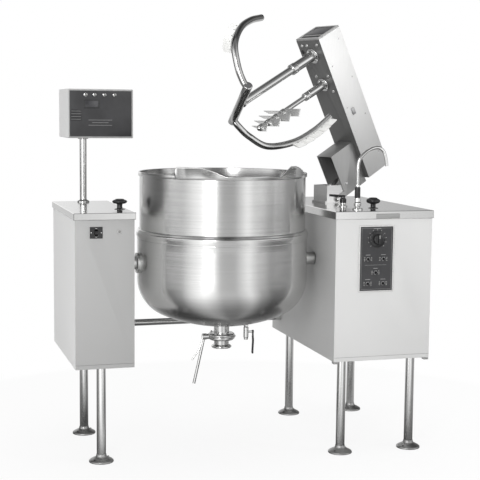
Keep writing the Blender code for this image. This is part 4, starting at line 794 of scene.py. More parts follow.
LEG_NODES = ("left_leg_front", "left_leg_back", "right_leg_front_left", "right_leg_front_right",
             "right_leg_back_left", "right_leg_back_right")
LEG_R = 0.0205
FOOT_PROFILE = [(0.0207, 0.0345), (0.0219, 0.0342), (0.0226, 0.0330), (0.0226, 0.0300), (0.0232, 0.0265),
                (0.0262, 0.0225), (0.0310, 0.0195), (0.0375, 0.0165), (0.0445, 0.0130), (0.0500, 0.0098),
                (0.0535, 0.0070), (0.0548, 0.0045), (0.0550, 0.0028), (0.0546, 0.0), (0.0, 0.0)]
SOCKET_PROFILE = [(0.0206, 0.4392), (0.0255, 0.4392), (0.0262, 0.4380), (0.0262, 0.4310), (0.0250, 0.4292),
                  (0.0206, 0.4286)]


def legs():
    for node in LEG_NODES:
        low, high = box_of(node)
        x, y = (low[0] + high[0]) / 2, (low[1] + high[1]) / 2
        spot = AXIS @ Matrix.Translation((x, y, 0))
        profile = [(0.0, 0.4396), (LEG_R, 0.4396), (LEG_R, 0.0290), (0.0, 0.0290)]
        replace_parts(lathe(f"{node}_fine", profile, 64, look("leg"), spot, angle=32), node)
        lathe(f"{node}_foot", FOOT_PROFILE, 64, look("foot"), spot, angle=32)
        lathe(f"{node}_socket", SOCKET_PROFILE, 48, look("tube"), spot)
        # Dark domes painted for the shade in the foot's bolt holes.
        for k in range(2):
            turn = math.radians(35 + 180 * k)
            hole = (x + 0.0425 * math.cos(turn), y + 0.0425 * math.sin(turn), 0.0138)
            screw(f"{node}_hole_{k + 1}", hole, (0, 0, 1), look("seam"), 0.0046)


# Knobs, lever and faucet on the lids


def mushroom(name, joint, radius, height, head, body, node):
    """A mushroom knob on a thin collar ring."""
    spot = joint_spot(joint)
    profile = [(0.0, height), (radius * 0.3, height - 0.0002), (radius * 0.6, height - head * 0.07)]
    profile += [(radius * math.cos(t), height - head * 0.55 + head * 0.48 * math.sin(t))
                for t in (1.0, 0.8, 0.6, 0.4, 0.2, 0.0)]
    under = ((0.985, 0.66), (0.93, 0.80), (0.82, 0.92))
    profile += [(radius * wide, height - head * deep) for wide, deep in under]
    profile += [(radius * 0.6, height - head), (radius * 0.40, height - head - 0.002),
                (radius * 0.36, height - head - 0.005), (radius * 0.36, 0.005), (radius * 0.42, 0.0035),
                (radius * 0.54, 0.0026), (radius * 0.55, 0.0), (0.0, 0.0)]
    made = lathe(name, profile, 64, look("black", body), AXIS @ Matrix.Translation(spot), angle=32)
    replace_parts(made, node)
    ring = [(radius * 0.56, 0.0002), (radius * 0.72, 0.0002), (radius * 0.74, 0.0012),
            (radius * 0.70, 0.0026), (radius * 0.56, 0.0028)]
    lathe(name + "_ring", ring, 48, look("chrome"), AXIS @ Matrix.Translation((spot.x, spot.y, TOP)))


def knobs():
    mushroom("left_knob_fine", "left_knob_turn", 0.0335, 0.046, 0.022, "left_turn_knob", "left_knob")
    mushroom("right_knob_fine", "right_knob_turn", 0.0325, 0.049, 0.028, "right_turn_knob", "right_knob")


def water_lever():
    spot = AXIS @ Matrix.Translation(joint_spot("water_lever_turn"))
    black = look("black", "water_lever")
    post = [(0.0, 0.041), (0.0062, 0.041), (0.0065, 0.039), (0.0065, 0.0245), (0.0075, 0.0225),
            (0.0128, 0.0205), (0.0148, 0.0165), (0.0150, 0.011), (0.0120, 0.0072), (0.0100, 0.0060),
            (0.0180, 0.0052), (0.0200, 0.0038), (0.0200, 0.0), (0.0, 0.0)]
    made = lathe("lever_post_fine", post, 48, look("chrome", "water_lever"), spot, angle=32)
    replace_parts(made, "valve_lever")
    hub = [(0.0, 0.0540), (0.0060, 0.0540), (0.0095, 0.0528), (0.0110, 0.0505), (0.0110, 0.0425),
           (0.0095, 0.0410), (0.0, 0.0408)]
    lathe("lever_hub", hub, 48, black, spot)
    skirt = [(0.0068, 0.0400), (0.0120, 0.0390), (0.0152, 0.0350), (0.0160, 0.0290), (0.0152, 0.0180),
             (0.0122, 0.0110), (0.0102, 0.0100)]
    lathe("lever_skirt", skirt, 48, black, spot)
    line = ball_line([Vector(p) for p in ((0, 0, 0.047), (-0.030, 0.004, 0.050), (-0.066, 0.008, 0.053))], 8)
    last = len(line) - 1
    radii = [0.0050 + 0.0008 * math.sin(math.pi * i / last) for i in range(len(line))]
    tube("lever_grip", line, radii, black, spot, sides=24)


FAUCET_HEIGHT = 0.1023
SPOUT_LINE = ((0, 0, 0), (0, 0, 0.040), (0, 0, 0.085), (0.010, 0, 0.128), (0.050, 0, 0.165),
              (0.094, 0, 0.178), (0.122, 0, 0.163), (0.136, 0, 0.125), (0.140, 0, 0.094))


def faucet():
    swivel = AXIS @ Matrix.Translation(joint_spot("faucet_swivel"))
    foot = swivel @ Matrix.Translation((0, 0, -FAUCET_HEIGHT))
    body = [(0.0, 0.102), (0.0100, 0.102), (0.0105, 0.1005), (0.0105, 0.0530), (0.0130, 0.0480),
            (0.0130, 0.0350), (0.0150, 0.0325), (0.0170, 0.0300), (0.0175, 0.0240), (0.0170, 0.0180),
            (0.0140, 0.0155), (0.0120, 0.0140), (0.0120, 0.0090), (0.0160, 0.0075), (0.0225, 0.0062),
            (0.0240, 0.0045), (0.0240, 0.0), (0.0, 0.0)]
    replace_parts(lathe("faucet_body_fine", body, 64, look("chrome"), foot), "faucet_body")
    sleeve = [(0.0106, 0.1018), (0.0118, 0.1012), (0.0129, 0.0990), (0.0130, 0.0960), (0.0130, 0.0560),
              (0.0127, 0.0530), (0.0106, 0.0522)]
    lathe("faucet_sleeve", sleeve, 48, look("black"), foot, angle=32)
    for i in range(3):
        z = 0.0625 + 0.014 * i
        rib = [(0.0129, z - 0.001), (0.01315, z), (0.0129, z + 0.001)]
        lathe(f"faucet_sleeve_rib_{i + 1}", rib, 48, look("black"), foot, angle=60)
    line = ball_line([Vector(p) for p in SPOUT_LINE], 12)
    made = tube("faucet_spout_fine", line, 0.0074, look("chrome", "spout"), swivel, sides=32, inner=0.0058)
    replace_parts(made, "faucet_spout")
    collar = [(0.0076, 0.0120), (0.0095, 0.0110), (0.0100, 0.0090), (0.0100, 0.0006), (0.0076, 0.0004)]
    lathe("faucet_collar", collar, 48, look("chrome", "spout"), swivel)


# Meter

METER_LOW, METER_HIGH = box_of("meter_housing")
METER_X = (METER_LOW[0], METER_HIGH[0])
METER_Z = (METER_LOW[2], METER_HIGH[2])
METER_FACE = METER_LOW[1]
BUTTON_X = (-0.578, -0.536, -0.490, -0.443)
BUTTON_Z = 1.628
METER_MID_LINES = ((-0.565, -0.455, 1.512), (-0.548, -0.472, 1.500), (-0.565, -0.455, 1.488))


def meter_bar(name, x, z, thick, paint, edge=0.0):
    plate_on_front(name, x, z, METER_FACE, thick, paint, edge)


def meter():
    # The meter housing takes the left console's sheet, and with it the painted side light.
    dress("meter_housing", "left_sheet")
    x0, x1, z0, z1 = *METER_X, *METER_Z
    inset = 0.0085
    meter_bar("meter_face_plate", (x0 + inset, x1 - inset), (z0 + inset, z1 - inset), (-0.0008, 0.0012),
              look("charcoal"), 0.0005)
    rims = (((x0 + 0.006, x1 - 0.006), (z0 + 0.006, z0 + 0.0078)),
            ((x0 + 0.006, x1 - 0.006), (z1 - 0.0078, z1 - 0.006)),
            ((x0 + 0.006, x0 + 0.0078), (z0 + 0.0078, z1 - 0.0078)),
            ((x1 - 0.0078, x1 - 0.006), (z0 + 0.0078, z1 - 0.0078)))
    for i, (x, z) in enumerate(rims):
        meter_bar(f"meter_rim_{i + 1}", x, z, (-0.0003, 0.0010), look("grey_mark", slot="stainless"))
    meter_bar("meter_display_bezel", (-0.586, -0.514), (1.566, 1.606), (0.0008, 0.0026), look("black"),
              0.0008)
    meter_bar("meter_display_lens", (-0.580, -0.520), (1.572, 1.600), (0.0022, 0.0030), look("lens"), 0.0003)
    ring = [(0.0055, 0.0), (0.0055, 0.0030), (0.0064, 0.0036), (0.0076, 0.0032), (0.0080, 0.0020),
            (0.0080, 0.0)]
    cap = [(0.0, 0.0), (0.0030, -0.0002), (0.0046, -0.0010), (0.0051, -0.0024), (0.0051, -0.0195),
           (0.0, -0.0195)]
    for i, x in enumerate(BUTTON_X):
        spot = facing((x, METER_FACE - 0.0012, BUTTON_Z), (0, -1, 0))
        lathe(f"meter_button_ring_{i + 1}", ring, 32, look("chrome"), spot)
        spot = facing((x, METER_FACE - 0.0065, BUTTON_Z), (0, -1, 0))
        made = lathe(f"meter_button_fine_{i + 1}", cap, 32, look("lamp", f"button_body_{i + 1}"), spot)
        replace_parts(made, f"meter_button_{i + 1}")
    # Bare plate and lines where the photo has wording.
    meter_bar("meter_left_plate", (-0.648, -0.598), (1.508, 1.560), (0.0011, 0.0017), look("black"), 0.0002)
    for k in range(4):
        z = 1.5145 + 0.0125 * k
        meter_bar(f"meter_left_line_{k + 1}", (-0.645, -0.601), (z, z + 0.0013), (0.0016, 0.0019),
                  look("grey_mark"))
    for k, (low, high, z) in enumerate(METER_MID_LINES):
        meter_bar(f"meter_mid_line_{k + 1}", (low, high), (z - 0.0008, z + 0.0008), (0.0011, 0.0015),
                  look("grey_mark"))
    pole_low, pole_high = box_of("meter_pole")
    middle = ((pole_low[0] + pole_high[0]) / 2, (pole_low[1] + pole_high[1]) / 2, 0)
    spot = AXIS @ Matrix.Translation(middle)
    pole = [(0.0, 1.4276), (0.0165, 1.4276), (0.0165, 1.1335), (0.0180, 1.1312), (0.0225, 1.1298),
            (0.0275, 1.1260), (0.0285, 1.1240), (0.0285, 1.1204), (0.0, 1.1204)]
    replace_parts(lathe("meter_pole_fine", pole, 56, look("tube"), spot), "meter_pole")
    collar = [(0.0166, 1.4276), (0.0245, 1.4276), (0.0250, 1.4262), (0.0250, 1.4225), (0.0235, 1.4210),
              (0.0166, 1.4205)]
    lathe("meter_pole_collar", collar, 48, look("tube"), spot)
    for k in range(4):
        spot = (x1 + 0.0001, 0.330 + 0.073 * k, z1 - 0.015)
        screw(f"meter_side_screw_{k + 1}", spot, (1, 0, 0), look("bolt"), 0.0030)
    # A stop pin beside the left lid.
    ends = [(-0.4375, -0.060, 1.1065), (-0.4140, -0.060, 1.1065)]
    tube("tilt_stop_pin", ends, 0.0040, look("seam", slot="steel"), sides=20)


# Bridge

ARM_HALF = 0.081
ARM_TOP = RISE + 0.146
ARM_TIP = 0.757
HOOD_HALF = 0.0522
UNDERSIDE_BOLTS = ((-0.052, 0.722), (0.018, 0.722), (0.052, 0.640), (-0.052, 0.560), (0.030, 0.560),
                   (0.056, 0.478), (-0.052, 0.478), (0.052, 0.722))
HIGH_SCREWS = (0.700, 0.500, 0.300, 0.090)
LOW_SCREWS = (0.600, 0.380, 0.250)
MAIN_SHAFT_R, SECOND_SHAFT_R = 0.019, 0.012
MAIN_SLEEVE_LENGTH, SECOND_SLEEVE_LENGTH = 0.125, 0.110


def bridge():
    dress("bridge_housing", "arm", edge=0.0018)
    dress("bridge_hood", "hood", edge=0.0008)
    dress("bridge_end_cap", "cap")
    # Dark window and slot recessed in the end cap: dark blocks painted for the shade inside the recesses.
    block("cap_window_painted_shade", (-ARM_HALF + 0.013, ARM_TIP - 0.0028, RISE + 0.050),
          (ARM_HALF - 0.013, ARM_TIP - 0.0012, ARM_TOP - 0.013), look("charcoal", "bridge"), ARM,
          edge=0.0006)
    block("cap_slot_painted_shade", (-ARM_HALF + 0.020, ARM_TIP - 0.0026, RISE + 0.017),
          (ARM_HALF - 0.020, ARM_TIP - 0.0010, RISE + 0.036), look("seam", "bridge", "black_plastic"), ARM,
          edge=0.0006)
    for i, (x, y) in enumerate(UNDERSIDE_BOLTS):
        bolt(f"underside_bolt_{i + 1}", (x, y, RISE - 0.0001), (0, 0, -1), look("bolt", "bridge"), 0.0055,
             ARM)
    plug = [(0.0, 0.004), (0.006, 0.0038), (0.0088, 0.0026), (0.0095, 0.0)]
    lathe("underside_plug", plug, 36, look("seam", "bridge", "steel"),
          facing((0.062, 0.690, RISE), (0, 0, -1), 0, ARM))
    places = [(y, ARM_TOP - 0.030) for y in HIGH_SCREWS] + [(y, RISE + 0.022) for y in LOW_SCREWS]
    for i, (y, z) in enumerate(places):
        for side in (-1, 1):
            screw(f"side_screw_{i + 1}_{side + 1}", (side * ARM_HALF, y, z), (side, 0, 0),
                  look("bolt", "bridge"), 0.0036, ARM)
    block("latch_plate", (-ARM_HALF - 0.0035, 0.330, RISE + 0.040),
          (-ARM_HALF - 0.0002, 0.365, RISE + 0.060), look("steel", "bridge"), ARM, edge=0.001)
    for side in (-1, 1):
        bolt(f"hood_bolt_{side + 1}", (side * HOOD_HALF, 0.040, 0.085), (side, 0, 0), look("bolt", "bridge"),
             0.0055, ARM)
        bolt(f"hinge_nut_{side + 1}", (side * (HOOD_HALF + 0.0062), 0, 0), (side, 0, 0), look("bolt"),
             0.0095, ARM)
    shaft_sleeve("main", SPIN, 0.024, 0.038, MAIN_SLEEVE_LENGTH, MAIN_SHAFT_R)
    shaft_sleeve("second", SECOND_SPIN, 0.0195, 0.0335, SECOND_SLEEVE_LENGTH, SECOND_SHAFT_R)


def shaft_sleeve(name, spot, sleeve, flange, length, shaft):
    """A shaft's bolted flange and its sleeve, hanging below the arm."""
    profile = [(flange - 0.0012, -0.0003), (flange, -0.0015), (flange, -0.0050), (flange - 0.001, -0.0060),
               (sleeve + 0.004, -0.0066), (sleeve + 0.0012, -0.0085), (sleeve, -0.013),
               (sleeve, -length + 0.004), (sleeve - 0.001, -length + 0.001), (sleeve - 0.002, -length),
               (shaft + 0.0006, -length)]
    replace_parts(lathe(f"{name}_sleeve_fine", profile, 72, look("tube", "bridge"), spot), f"{name}_sleeve")
    for k in range(4):
        turn = math.radians(45 + 90 * k)
        where = ((flange - 0.0065) * math.cos(turn), (flange - 0.0065) * math.sin(turn), -0.0060)
        bolt(f"{name}_flange_bolt_{k + 1}", where, (0, 0, -1), look("bolt", "bridge"), 0.0038, spot)


# Agitators

MAIN, SECOND = "main_agitator", "second_agitator"
BAR_DEPTH = 0.500
BAR_ANGLE = math.radians(140.6)
BAR_HALF = 0.147
BAR_R = 0.0205
ANCHOR_TUBE_R = 0.0160
# The curved arm's line: distance from the shaft, angle about it in degrees, depth below the arm.
ANCHOR_PATH = ((0.128, 140.6, 0.500), (0.145, 125, 0.497), (0.190, 109, 0.478), (0.262, 96, 0.425),
               (0.296, 84, 0.320), (0.298, 75, 0.215), (0.285, 66, 0.120))
PADDLE_LENGTHS = (0.046, 0.084, 0.105, 0.122)
PADDLE_DEPTH = 0.440
PADDLE_SPACING = 0.050
PADDLE_PITCH = math.radians(42)


def pulley(name, spot, radius, shaft, body):
    wide = radius + 0.004
    profile = [(shaft, 0.0478), (wide, 0.0478), (wide, 0.046), (radius, 0.0459), (radius, 0.0301),
               (wide, 0.030), (wide, 0.0282), (shaft, 0.0282)]
    lathe(f"{name}_pulley", profile, 56, look("steel", body), spot)


def coupling(name, spot, shaft, length, body):
    """Split coupling with its cross pin, under a sleeve."""
    r = shaft + 0.0075
    z = -length - 0.001
    profile = [(shaft + 0.0002, z), (r - 0.0015, z), (r, z - 0.0015), (r, z - 0.026),
               (r - 0.0015, z - 0.0275), (shaft + 0.0002, z - 0.0275)]
    lathe(f"{name}_coupling", profile, 64, look("agitator", body), spot)
    for k, turn in enumerate((0.6, 0.6 + math.pi)):
        along = Vector((math.cos(turn), math.sin(turn), 0))
        pin = along * (r - 0.0002) + Vector((0, 0, z - 0.013))
        screw(f"{name}_coupling_pin_{k + 1}", pin, along, look("bolt", body), 0.0045, spot)
    wiper = [(shaft + 0.0004, z), (shaft + 0.0035, z), (shaft + 0.0035, z + 0.0005)]
    lathe(f"{name}_wiper", wiper, 48, look("black", body), spot)


def main_agitator():
    steel = look("agitator", MAIN)
    end = look("steel", MAIN, "polished_stainless")
    shaft = [(0.0, 0.056), (MAIN_SHAFT_R, 0.056), (MAIN_SHAFT_R, 0.015 - BAR_DEPTH),
             (0.0, 0.015 - BAR_DEPTH)]
    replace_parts(lathe("main_shaft_fine", shaft, 64, steel, SPIN), "main_shaft")
    pulley("main", SPIN, 0.055, MAIN_SHAFT_R, MAIN)
    pulley("second", SECOND_SPIN, 0.032, SECOND_SHAFT_R, SECOND)
    coupling("main", SPIN, MAIN_SHAFT_R, MAIN_SLEEVE_LENGTH, MAIN)
    bar = SPIN @ Matrix.Translation((0, 0, -BAR_DEPTH)) @ Matrix.Rotation(BAR_ANGLE, 4, "Z")
    near = BAR_HALF - 0.0015
    ends = [(x, 0, 0) for x in (-BAR_HALF, -near, -0.05, 0.05, near, BAR_HALF)]
    radii = [BAR_R - 0.0015] + [BAR_R] * 4 + [BAR_R - 0.0015]
    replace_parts(tube("anchor_bar", ends, radii, steel, bar, sides=48), "anchor")
    plug = [(0.0, 0.0006), (0.0150, 0.0006), (0.0158, 0.0), (0.0190, -0.0005)]
    for k, side in enumerate((-1, 1)):
        spot = facing((side * (BAR_HALF - 0.0002), 0, 0), (side, 0, 0), 0, bar)
        lathe(f"bar_end_{k + 1}", plug, 48, end, spot)
    weld = [(0.0192, -0.4715), (0.0215, -0.4765), (0.0235, -0.4830), (0.0225, -0.4880)]
    lathe("bar_weld", weld, 48, steel, SPIN, angle=60)
    turns = [math.radians(a) for r, a, d in ANCHOR_PATH]
    path = [Vector((r * math.cos(t), r * math.sin(t), -d)) for t, (r, a, d) in zip(turns, ANCHOR_PATH)]
    line = ball_line(path, 16)
    plug = [(0.0, 0.0004), (0.0120, 0.0004), (0.0140, 0.0), (0.0155, -0.001)]
    for k in (0, 1):
        spot = SPIN @ Matrix.Rotation(math.pi * k, 4, "Z")
        tube(f"anchor_arm_{k + 1}", line, ANCHOR_TUBE_R, steel, spot, sides=40)
        lathe(f"anchor_tip_{k + 1}", plug, 40, end, facing(line[-1], line[-1] - line[-2], 0, spot))
        scraper(k, spot, line)


def second_agitator():
    steel = look("agitator", SECOND)
    r = SECOND_SHAFT_R
    shaft = [(0.0, 0.056), (r, 0.056), (r, -0.437)]
    shaft += arc_points(0.0, -0.449, 0.0125, math.radians(60), -QUARTER, 12)
    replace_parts(lathe("second_shaft_fine", shaft, 48, steel, SECOND_SPIN), "second_shaft")
    coupling("second", SECOND_SPIN, r, SECOND_SLEEVE_LENGTH, SECOND)
    for tier, length in enumerate(PADDLE_LENGTHS):
        depth = PADDLE_DEPTH - tier * PADDLE_SPACING
        hub = [(0.0121, 0.013), (0.0150, 0.011), (0.0160, 0.006), (0.0160, -0.006), (0.0150, -0.011),
               (0.0121, -0.013)]
        hub = [(wide, height - depth) for wide, height in hub]
        lathe(f"paddle_hub_{tier + 1}", hub, 40, steel, SECOND_SPIN, angle=35)
        for side in (-1, 1):
            tilt = Matrix.Rotation(-side * PADDLE_PITCH, 4, "X")
            spot = SECOND_SPIN @ Matrix.Translation((side * length / 2, 0, -depth)) @ tilt
            block(f"paddle_{tier + 1}_{side + 1}", (-length / 2, -0.018, -0.0015),
                  (length / 2, 0.018, 0.0015), look("paddle", SECOND), spot, edge=0.0009)


SCRAPER_DEPTHS = ((0.290, 0.455), (0.135, 0.335))
SCRAPER_BLADES = 5
SLANT = math.radians(65)
BLADE_ROOT = 0.0184
BLADE_REACH = 0.0612


def slanted(line, i):
    """The way that a blade stands out from the arm at a station, and the way across its thickness."""
    here = line[i]
    tangent = (line[min(i + 1, len(line) - 1)] - line[i - 1]).normalized()
    across = Vector((-here.y, here.x, 0)).normalized()
    out = across.cross(tangent).normalized()
    if out.dot(here) < 0:
        out = -out
    return (out * math.cos(SLANT) - across * math.sin(SLANT),
            out * math.sin(SLANT) + across * math.cos(SLANT))


def scraper_blade(name, line, steps, spot):
    """One blade, its corners drawn in at both ends."""
    shape = bmesh.new()
    rings = []
    for n, i in enumerate(steps):
        along, thick = slanted(line, i)
        at_end = n in (0, len(steps) - 1)
        pinch = 0.0008 if at_end else 0.0
        far = BLADE_REACH - (0.0035 if at_end else 0.0)
        lift = -0.0010 + 0.0020 * n / max(1, len(steps) - 1)
        section = ((BLADE_ROOT, -0.0042), (0.030, -0.0040 + pinch), (0.050, -0.0026 + pinch), (far, -0.0012),
                   (far, 0.0012), (0.050, 0.0028 - pinch), (0.030, 0.0042 - pinch), (BLADE_ROOT, 0.0044))
        rings.append([shape.verts.new(line[i] + along * reach + thick * (off + lift))
                      for reach, off in section])
    for a, b in zip(rings, rings[1:]):
        for j in range(len(a)):
            shape.faces.new((a[j], b[j], b[(j + 1) % len(a)], a[(j + 1) % len(a)]))
    shape.faces.new(rings[0])
    shape.faces.new(rings[-1][::-1])
    return finish_mesh(name, shape, look("nylon", MAIN), spot, angle=40)


def scraper(index, spot, line):
    """Overlapping white scraper blades standing out from an arm, each on its own pin."""
    shallow, deep = SCRAPER_DEPTHS[index]
    stations = [i for i, p in enumerate(line) if shallow <= -p.z <= deep]
    for k in range(SCRAPER_BLADES):
        first, last = (stations[round(j * (len(stations) - 1) / SCRAPER_BLADES)] for j in (k, k + 1))
        made = scraper_blade(f"scraper_blade_{index + 1}_{k + 1}", line, range(first, last + 1), spot)
        if k == 0:
            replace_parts(made, f"scraper_{index + 1}")
        middle = (first + last) // 2
        along, thick = slanted(line, middle)
        pin = line[middle] + along * 0.0245
        paint = look("bolt", MAIN)
        screw(f"scraper_screw_{index + 1}_{k + 1}", pin - thick * 0.0042, -thick, paint, 0.0034, spot)
        screw(f"scraper_screw_back_{index + 1}_{k + 1}", pin + thick * 0.0044, thick, paint, 0.0034, spot)


# CAD nodes whose own shape stays, with the material of each.
PLAIN_NODES = {
    "left_trunnion": "tube", "right_trunnion": "tube", "worm_wheel": "steel", "tilt_worm": "steel",
    "left_bearing": "steel", "right_bearing": "steel", "tilt_motor": "motor", "agitator_motor": "motor",
    "drive_belt": "rubber", "tilt_switch": "black", "pedestal": "pedestal", "lift_cylinder": "tube",
    "lift_rod": "chrome", "cross_tube": "tube", "draw_off_neck": "tube", "draw_off_valve": "tube",
    "draw_off_handle": "tube", "drain_cock": "chrome", "drain_lever": "black", "toggle_1": "black",
    "toggle_2": "black", "toggle_3": "black", "toggle_4": "black", "toggle_5": "black"}

kettle()
lip()
draw_off()
console_details()
legs()
knobs()
water_lever()
faucet()
meter()
bridge()
main_agitator()
second_agitator()
for node, mat in PLAIN_NODES.items():
    dress(node, mat)

# Studio

# Brightness round the room, by compass direction from south round by west, north and east back to south.
ROOM_BANDS = ((0.0, 0.18), (0.040, 0.18), (0.058, 0.42), (0.078, 0.70), (0.109, 0.84), (0.141, 0.74),
              (0.207, 0.80), (0.25, 1.0), (0.272, 0.55), (0.295, 0.12), (0.340, 0.05), (0.381, 0.10),
              (0.43, 0.20), (0.455, 0.55), (0.50, 0.66), (0.535, 0.40), (0.60, 0.20), (0.65, 0.08),
              (0.71, 0.10), (0.765, 0.25), (0.80, 0.74), (0.821, 0.66), (0.829, 1.0), (0.837, 0.62),
              (0.865, 0.68), (0.895, 0.90), (0.922, 0.62), (0.952, 0.84), (0.978, 0.46), (1.0, 0.18))
FLOOR_BANDS = ((0.0, 0.46), (0.05, 0.48), (0.08, 0.80), (0.11, 1.0), (0.15, 0.72), (0.19, 0.26),
               (0.24, 0.12), (0.31, 0.12), (0.37, 0.24), (0.46, 0.42), (0.55, 0.46), (0.63, 0.42),
               (0.73, 0.32), (0.80, 0.14), (0.86, 0.14), (0.91, 0.34), (0.95, 0.76), (1.0, 0.46))
ROOM_STRENGTH, OVERHEAD_STRENGTH = 1.75, 0.35
FLOOR_RADIUS = 30.0


def maths(tree, operation, *values):
    """A math node; a value is an output or a number."""
    made = tree.nodes.new("ShaderNodeMath")
    made.operation = operation
    for socket, value in zip(made.inputs, values):
        if isinstance(value, float):
            socket.default_value = value
        else:
            link(tree, value, socket)
    return made.outputs[0]


def compass_ramp(tree, vector, bands):
    """Brightness by the compass direction that a vector points in, and the vector's height."""
    split = tree.nodes.new("ShaderNodeSeparateXYZ")
    link(tree, vector, split.inputs["Vector"])
    turn = maths(tree, "ARCTAN2", split.outputs["X"], split.outputs["Y"])
    ramp = tree.nodes.new("ShaderNodeValToRGB")
    link(tree, spread(tree, turn, 0.0, 1.0, -math.pi, math.pi), ramp.inputs["Fac"])
    elements = ramp.color_ramp.elements
    for i, (at, value) in enumerate(bands):
        item = elements[i] if i < len(elements) else elements.new(at)
        item.position = at
        item.color = (value, value, value, 1)
    return ramp.outputs["Color"], split.outputs["Z"]


def mix_shaders(tree, share, first, second):
    made = tree.nodes.new("ShaderNodeMixShader")
    link(tree, share, made.inputs["Fac"])
    link(tree, first, made.inputs[1])
    link(tree, second, made.inputs[2])
    return made.outputs[0]


def background(tree, strength):
    made = tree.nodes.new("ShaderNodeBackground")
    made.inputs["Color"].default_value = (1, 1, 1, 1)
    made.inputs["Strength"].default_value = strength
    return made


def room():
    """White to the camera, banded to polished metal, plain and soft to everything else."""
    world = bpy.data.worlds.new("studio")
    bpy.context.scene.world = world
    world.use_nodes = True
    tree = world.node_tree
    tree.nodes.clear()
    out = tree.nodes.new("ShaderNodeOutputWorld")
    coords = tree.nodes.new("ShaderNodeTexCoord")
    bands, height = compass_ramp(tree, coords.outputs["Generated"], ROOM_BANDS)
    dimmed = tree.nodes.new("ShaderNodeVectorMath")
    dimmed.operation = "SCALE"
    link(tree, bands, dimmed.inputs[0])
    strength = spread(tree, height, ROOM_STRENGTH, OVERHEAD_STRENGTH, 0.34, 0.72)
    link(tree, strength, dimmed.inputs["Scale"])
    mirrored = background(tree, 1.0)
    link(tree, dimmed.outputs["Vector"], mirrored.inputs["Color"])
    paths = tree.nodes.new("ShaderNodeLightPath").outputs
    plain, white = background(tree, 0.55), background(tree, 1.0)
    around = mix_shaders(tree, paths["Is Glossy Ray"], plain.outputs[0], mirrored.outputs[0])
    seen = maths(tree, "MAXIMUM", paths["Is Camera Ray"], paths["Is Transmission Ray"])
    link(tree, mix_shaders(tree, seen, around, white.outputs[0]), out.inputs["Surface"])


def emission(tree):
    made = tree.nodes.new("ShaderNodeEmission")
    made.inputs["Color"].default_value = (1, 1, 1, 1)
    made.inputs["Strength"].default_value = 1.0
    return made


def floor_material():
    """Pale paper that keeps the shadow near the machine and fades to the backdrop's white."""
    ground, tree, shader = new_material("floor_paper")
    fine = noise(tree, 90.0, detail=2.0)
    pale = mix_colours(tree, spread(tree, fine, 0, 1), (0.86, 0.86, 0.86), (0.90, 0.90, 0.90))
    link(tree, pale, shader.inputs["Base Color"])
    shader.inputs["Roughness"].default_value = 0.9
    shader.inputs["Specular IOR Level"].default_value = 0.1
    bump(tree, shader, fine, 0.05)
    coords = tree.nodes.new("ShaderNodeTexCoord")
    distance = tree.nodes.new("ShaderNodeVectorMath")
    distance.operation = "LENGTH"
    link(tree, coords.outputs["Object"], distance.inputs[0])
    away = spread(tree, distance.outputs["Value"], 0.0, 1.0, 0.9, 1.9)
    paths = tree.nodes.new("ShaderNodeLightPath").outputs
    faded = maths(tree, "MULTIPLY", away, paths["Is Camera Ray"])
    least = maths(tree, "MULTIPLY", paths["Is Camera Ray"], 0.88)
    lift = maths(tree, "MAXIMUM", faded, least)
    lit = mix_shaders(tree, lift, shader.outputs[0], emission(tree).outputs[0])
    # Polished metal sees the floor in bands, dark under the machine and pale further out.
    mirrored = emission(tree)
    bands, height = compass_ramp(tree, coords.outputs["Object"], FLOOR_BANDS)
    link(tree, bands, mirrored.inputs["Color"])
    link(tree, spread(tree, distance.outputs["Value"], 0.45, 1.60, 0.6, 1.9), mirrored.inputs["Strength"])
    final = mix_shaders(tree, paths["Is Glossy Ray"], lit, mirrored.outputs[0])
    link(tree, final, tree.nodes["Material Output"].inputs["Surface"])
    return ground


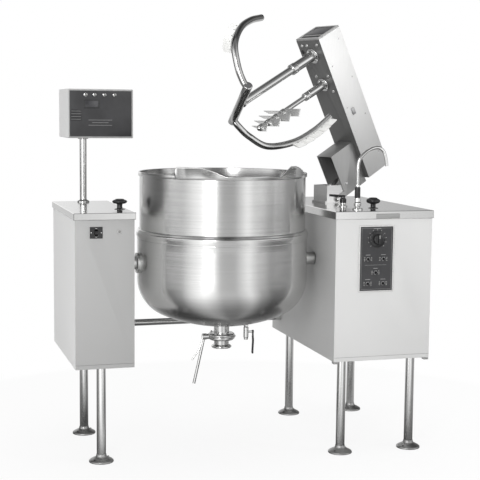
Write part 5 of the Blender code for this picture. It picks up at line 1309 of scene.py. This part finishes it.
def floor():
    data = bpy.data.meshes.new("floor")
    shape = bmesh.new()
    bmesh.ops.create_circle(shape, cap_ends=True, segments=96, radius=FLOOR_RADIUS)
    shape.to_mesh(data)
    shape.free()
    data.materials.append(floor_material())
    made = bpy.data.objects.new("floor", data)
    bpy.context.scene.collection.objects.link(made)
    made.location = (0, 0, -0.0005)


def softbox(name, spot, height, size, power, mirrored=False):
    """A square lamp that looks at a height on the machine's middle line."""
    data = bpy.data.lights.new(name, "AREA")
    data.shape = "RECTANGLE"
    data.size, data.size_y = size
    data.energy = power
    made = bpy.data.objects.new(name, data)
    bpy.context.scene.collection.objects.link(made)
    made.visible_glossy = mirrored
    made.location = spot
    made.rotation_euler = (Vector((0, 0, height)) - Vector(spot)).to_track_quat("-Z", "Y").to_euler()


room()
floor()
softbox("key_softbox", (-2.9, -4.7, 2.6), 0.9, (1.3, 3.0), 95, mirrored=True)
softbox("fill_softbox", (4.3, -2.9, 2.2), 0.9, (1.0, 3.2), 60)
softbox("top_softbox", (0.3, 0.2, 4.6), 0.8, (3.2, 3.2), 90)

# Camera, fitted to the photo

CAMERA_SPOT = Vector((-1.4584, -5.2031, 1.5657))
YAW, PITCH, ROLL = (math.radians(angle) for angle in (16.522, 6.26, -0.5539))
SENSOR = 36.0
FOCAL_IN_PICTURE_WIDTHS = 1187.15 / 480


def camera():
    ahead = Vector((math.sin(YAW) * math.cos(PITCH), math.cos(YAW) * math.cos(PITCH), -math.sin(PITCH)))
    level = Vector((math.cos(YAW), -math.sin(YAW), 0))
    down = -level.cross(ahead)
    right = level * math.cos(ROLL) + down * math.sin(ROLL)
    below = level * -math.sin(ROLL) + down * math.cos(ROLL)
    data = bpy.data.cameras.new("camera")
    data.sensor_width = SENSOR
    data.lens = FOCAL_IN_PICTURE_WIDTHS * SENSOR
    data.clip_end = 60
    made = bpy.data.objects.new("camera", data)
    bpy.context.scene.collection.objects.link(made)
    turn = Matrix((right, -below, -ahead)).transposed().to_4x4()
    made.matrix_world = Matrix.Translation(CENTRE + CAMERA_SPOT) @ turn
    bpy.context.scene.camera = made


camera()
bpy.context.scene.view_settings.view_transform = "Standard"
bpy.context.view_layer.update()
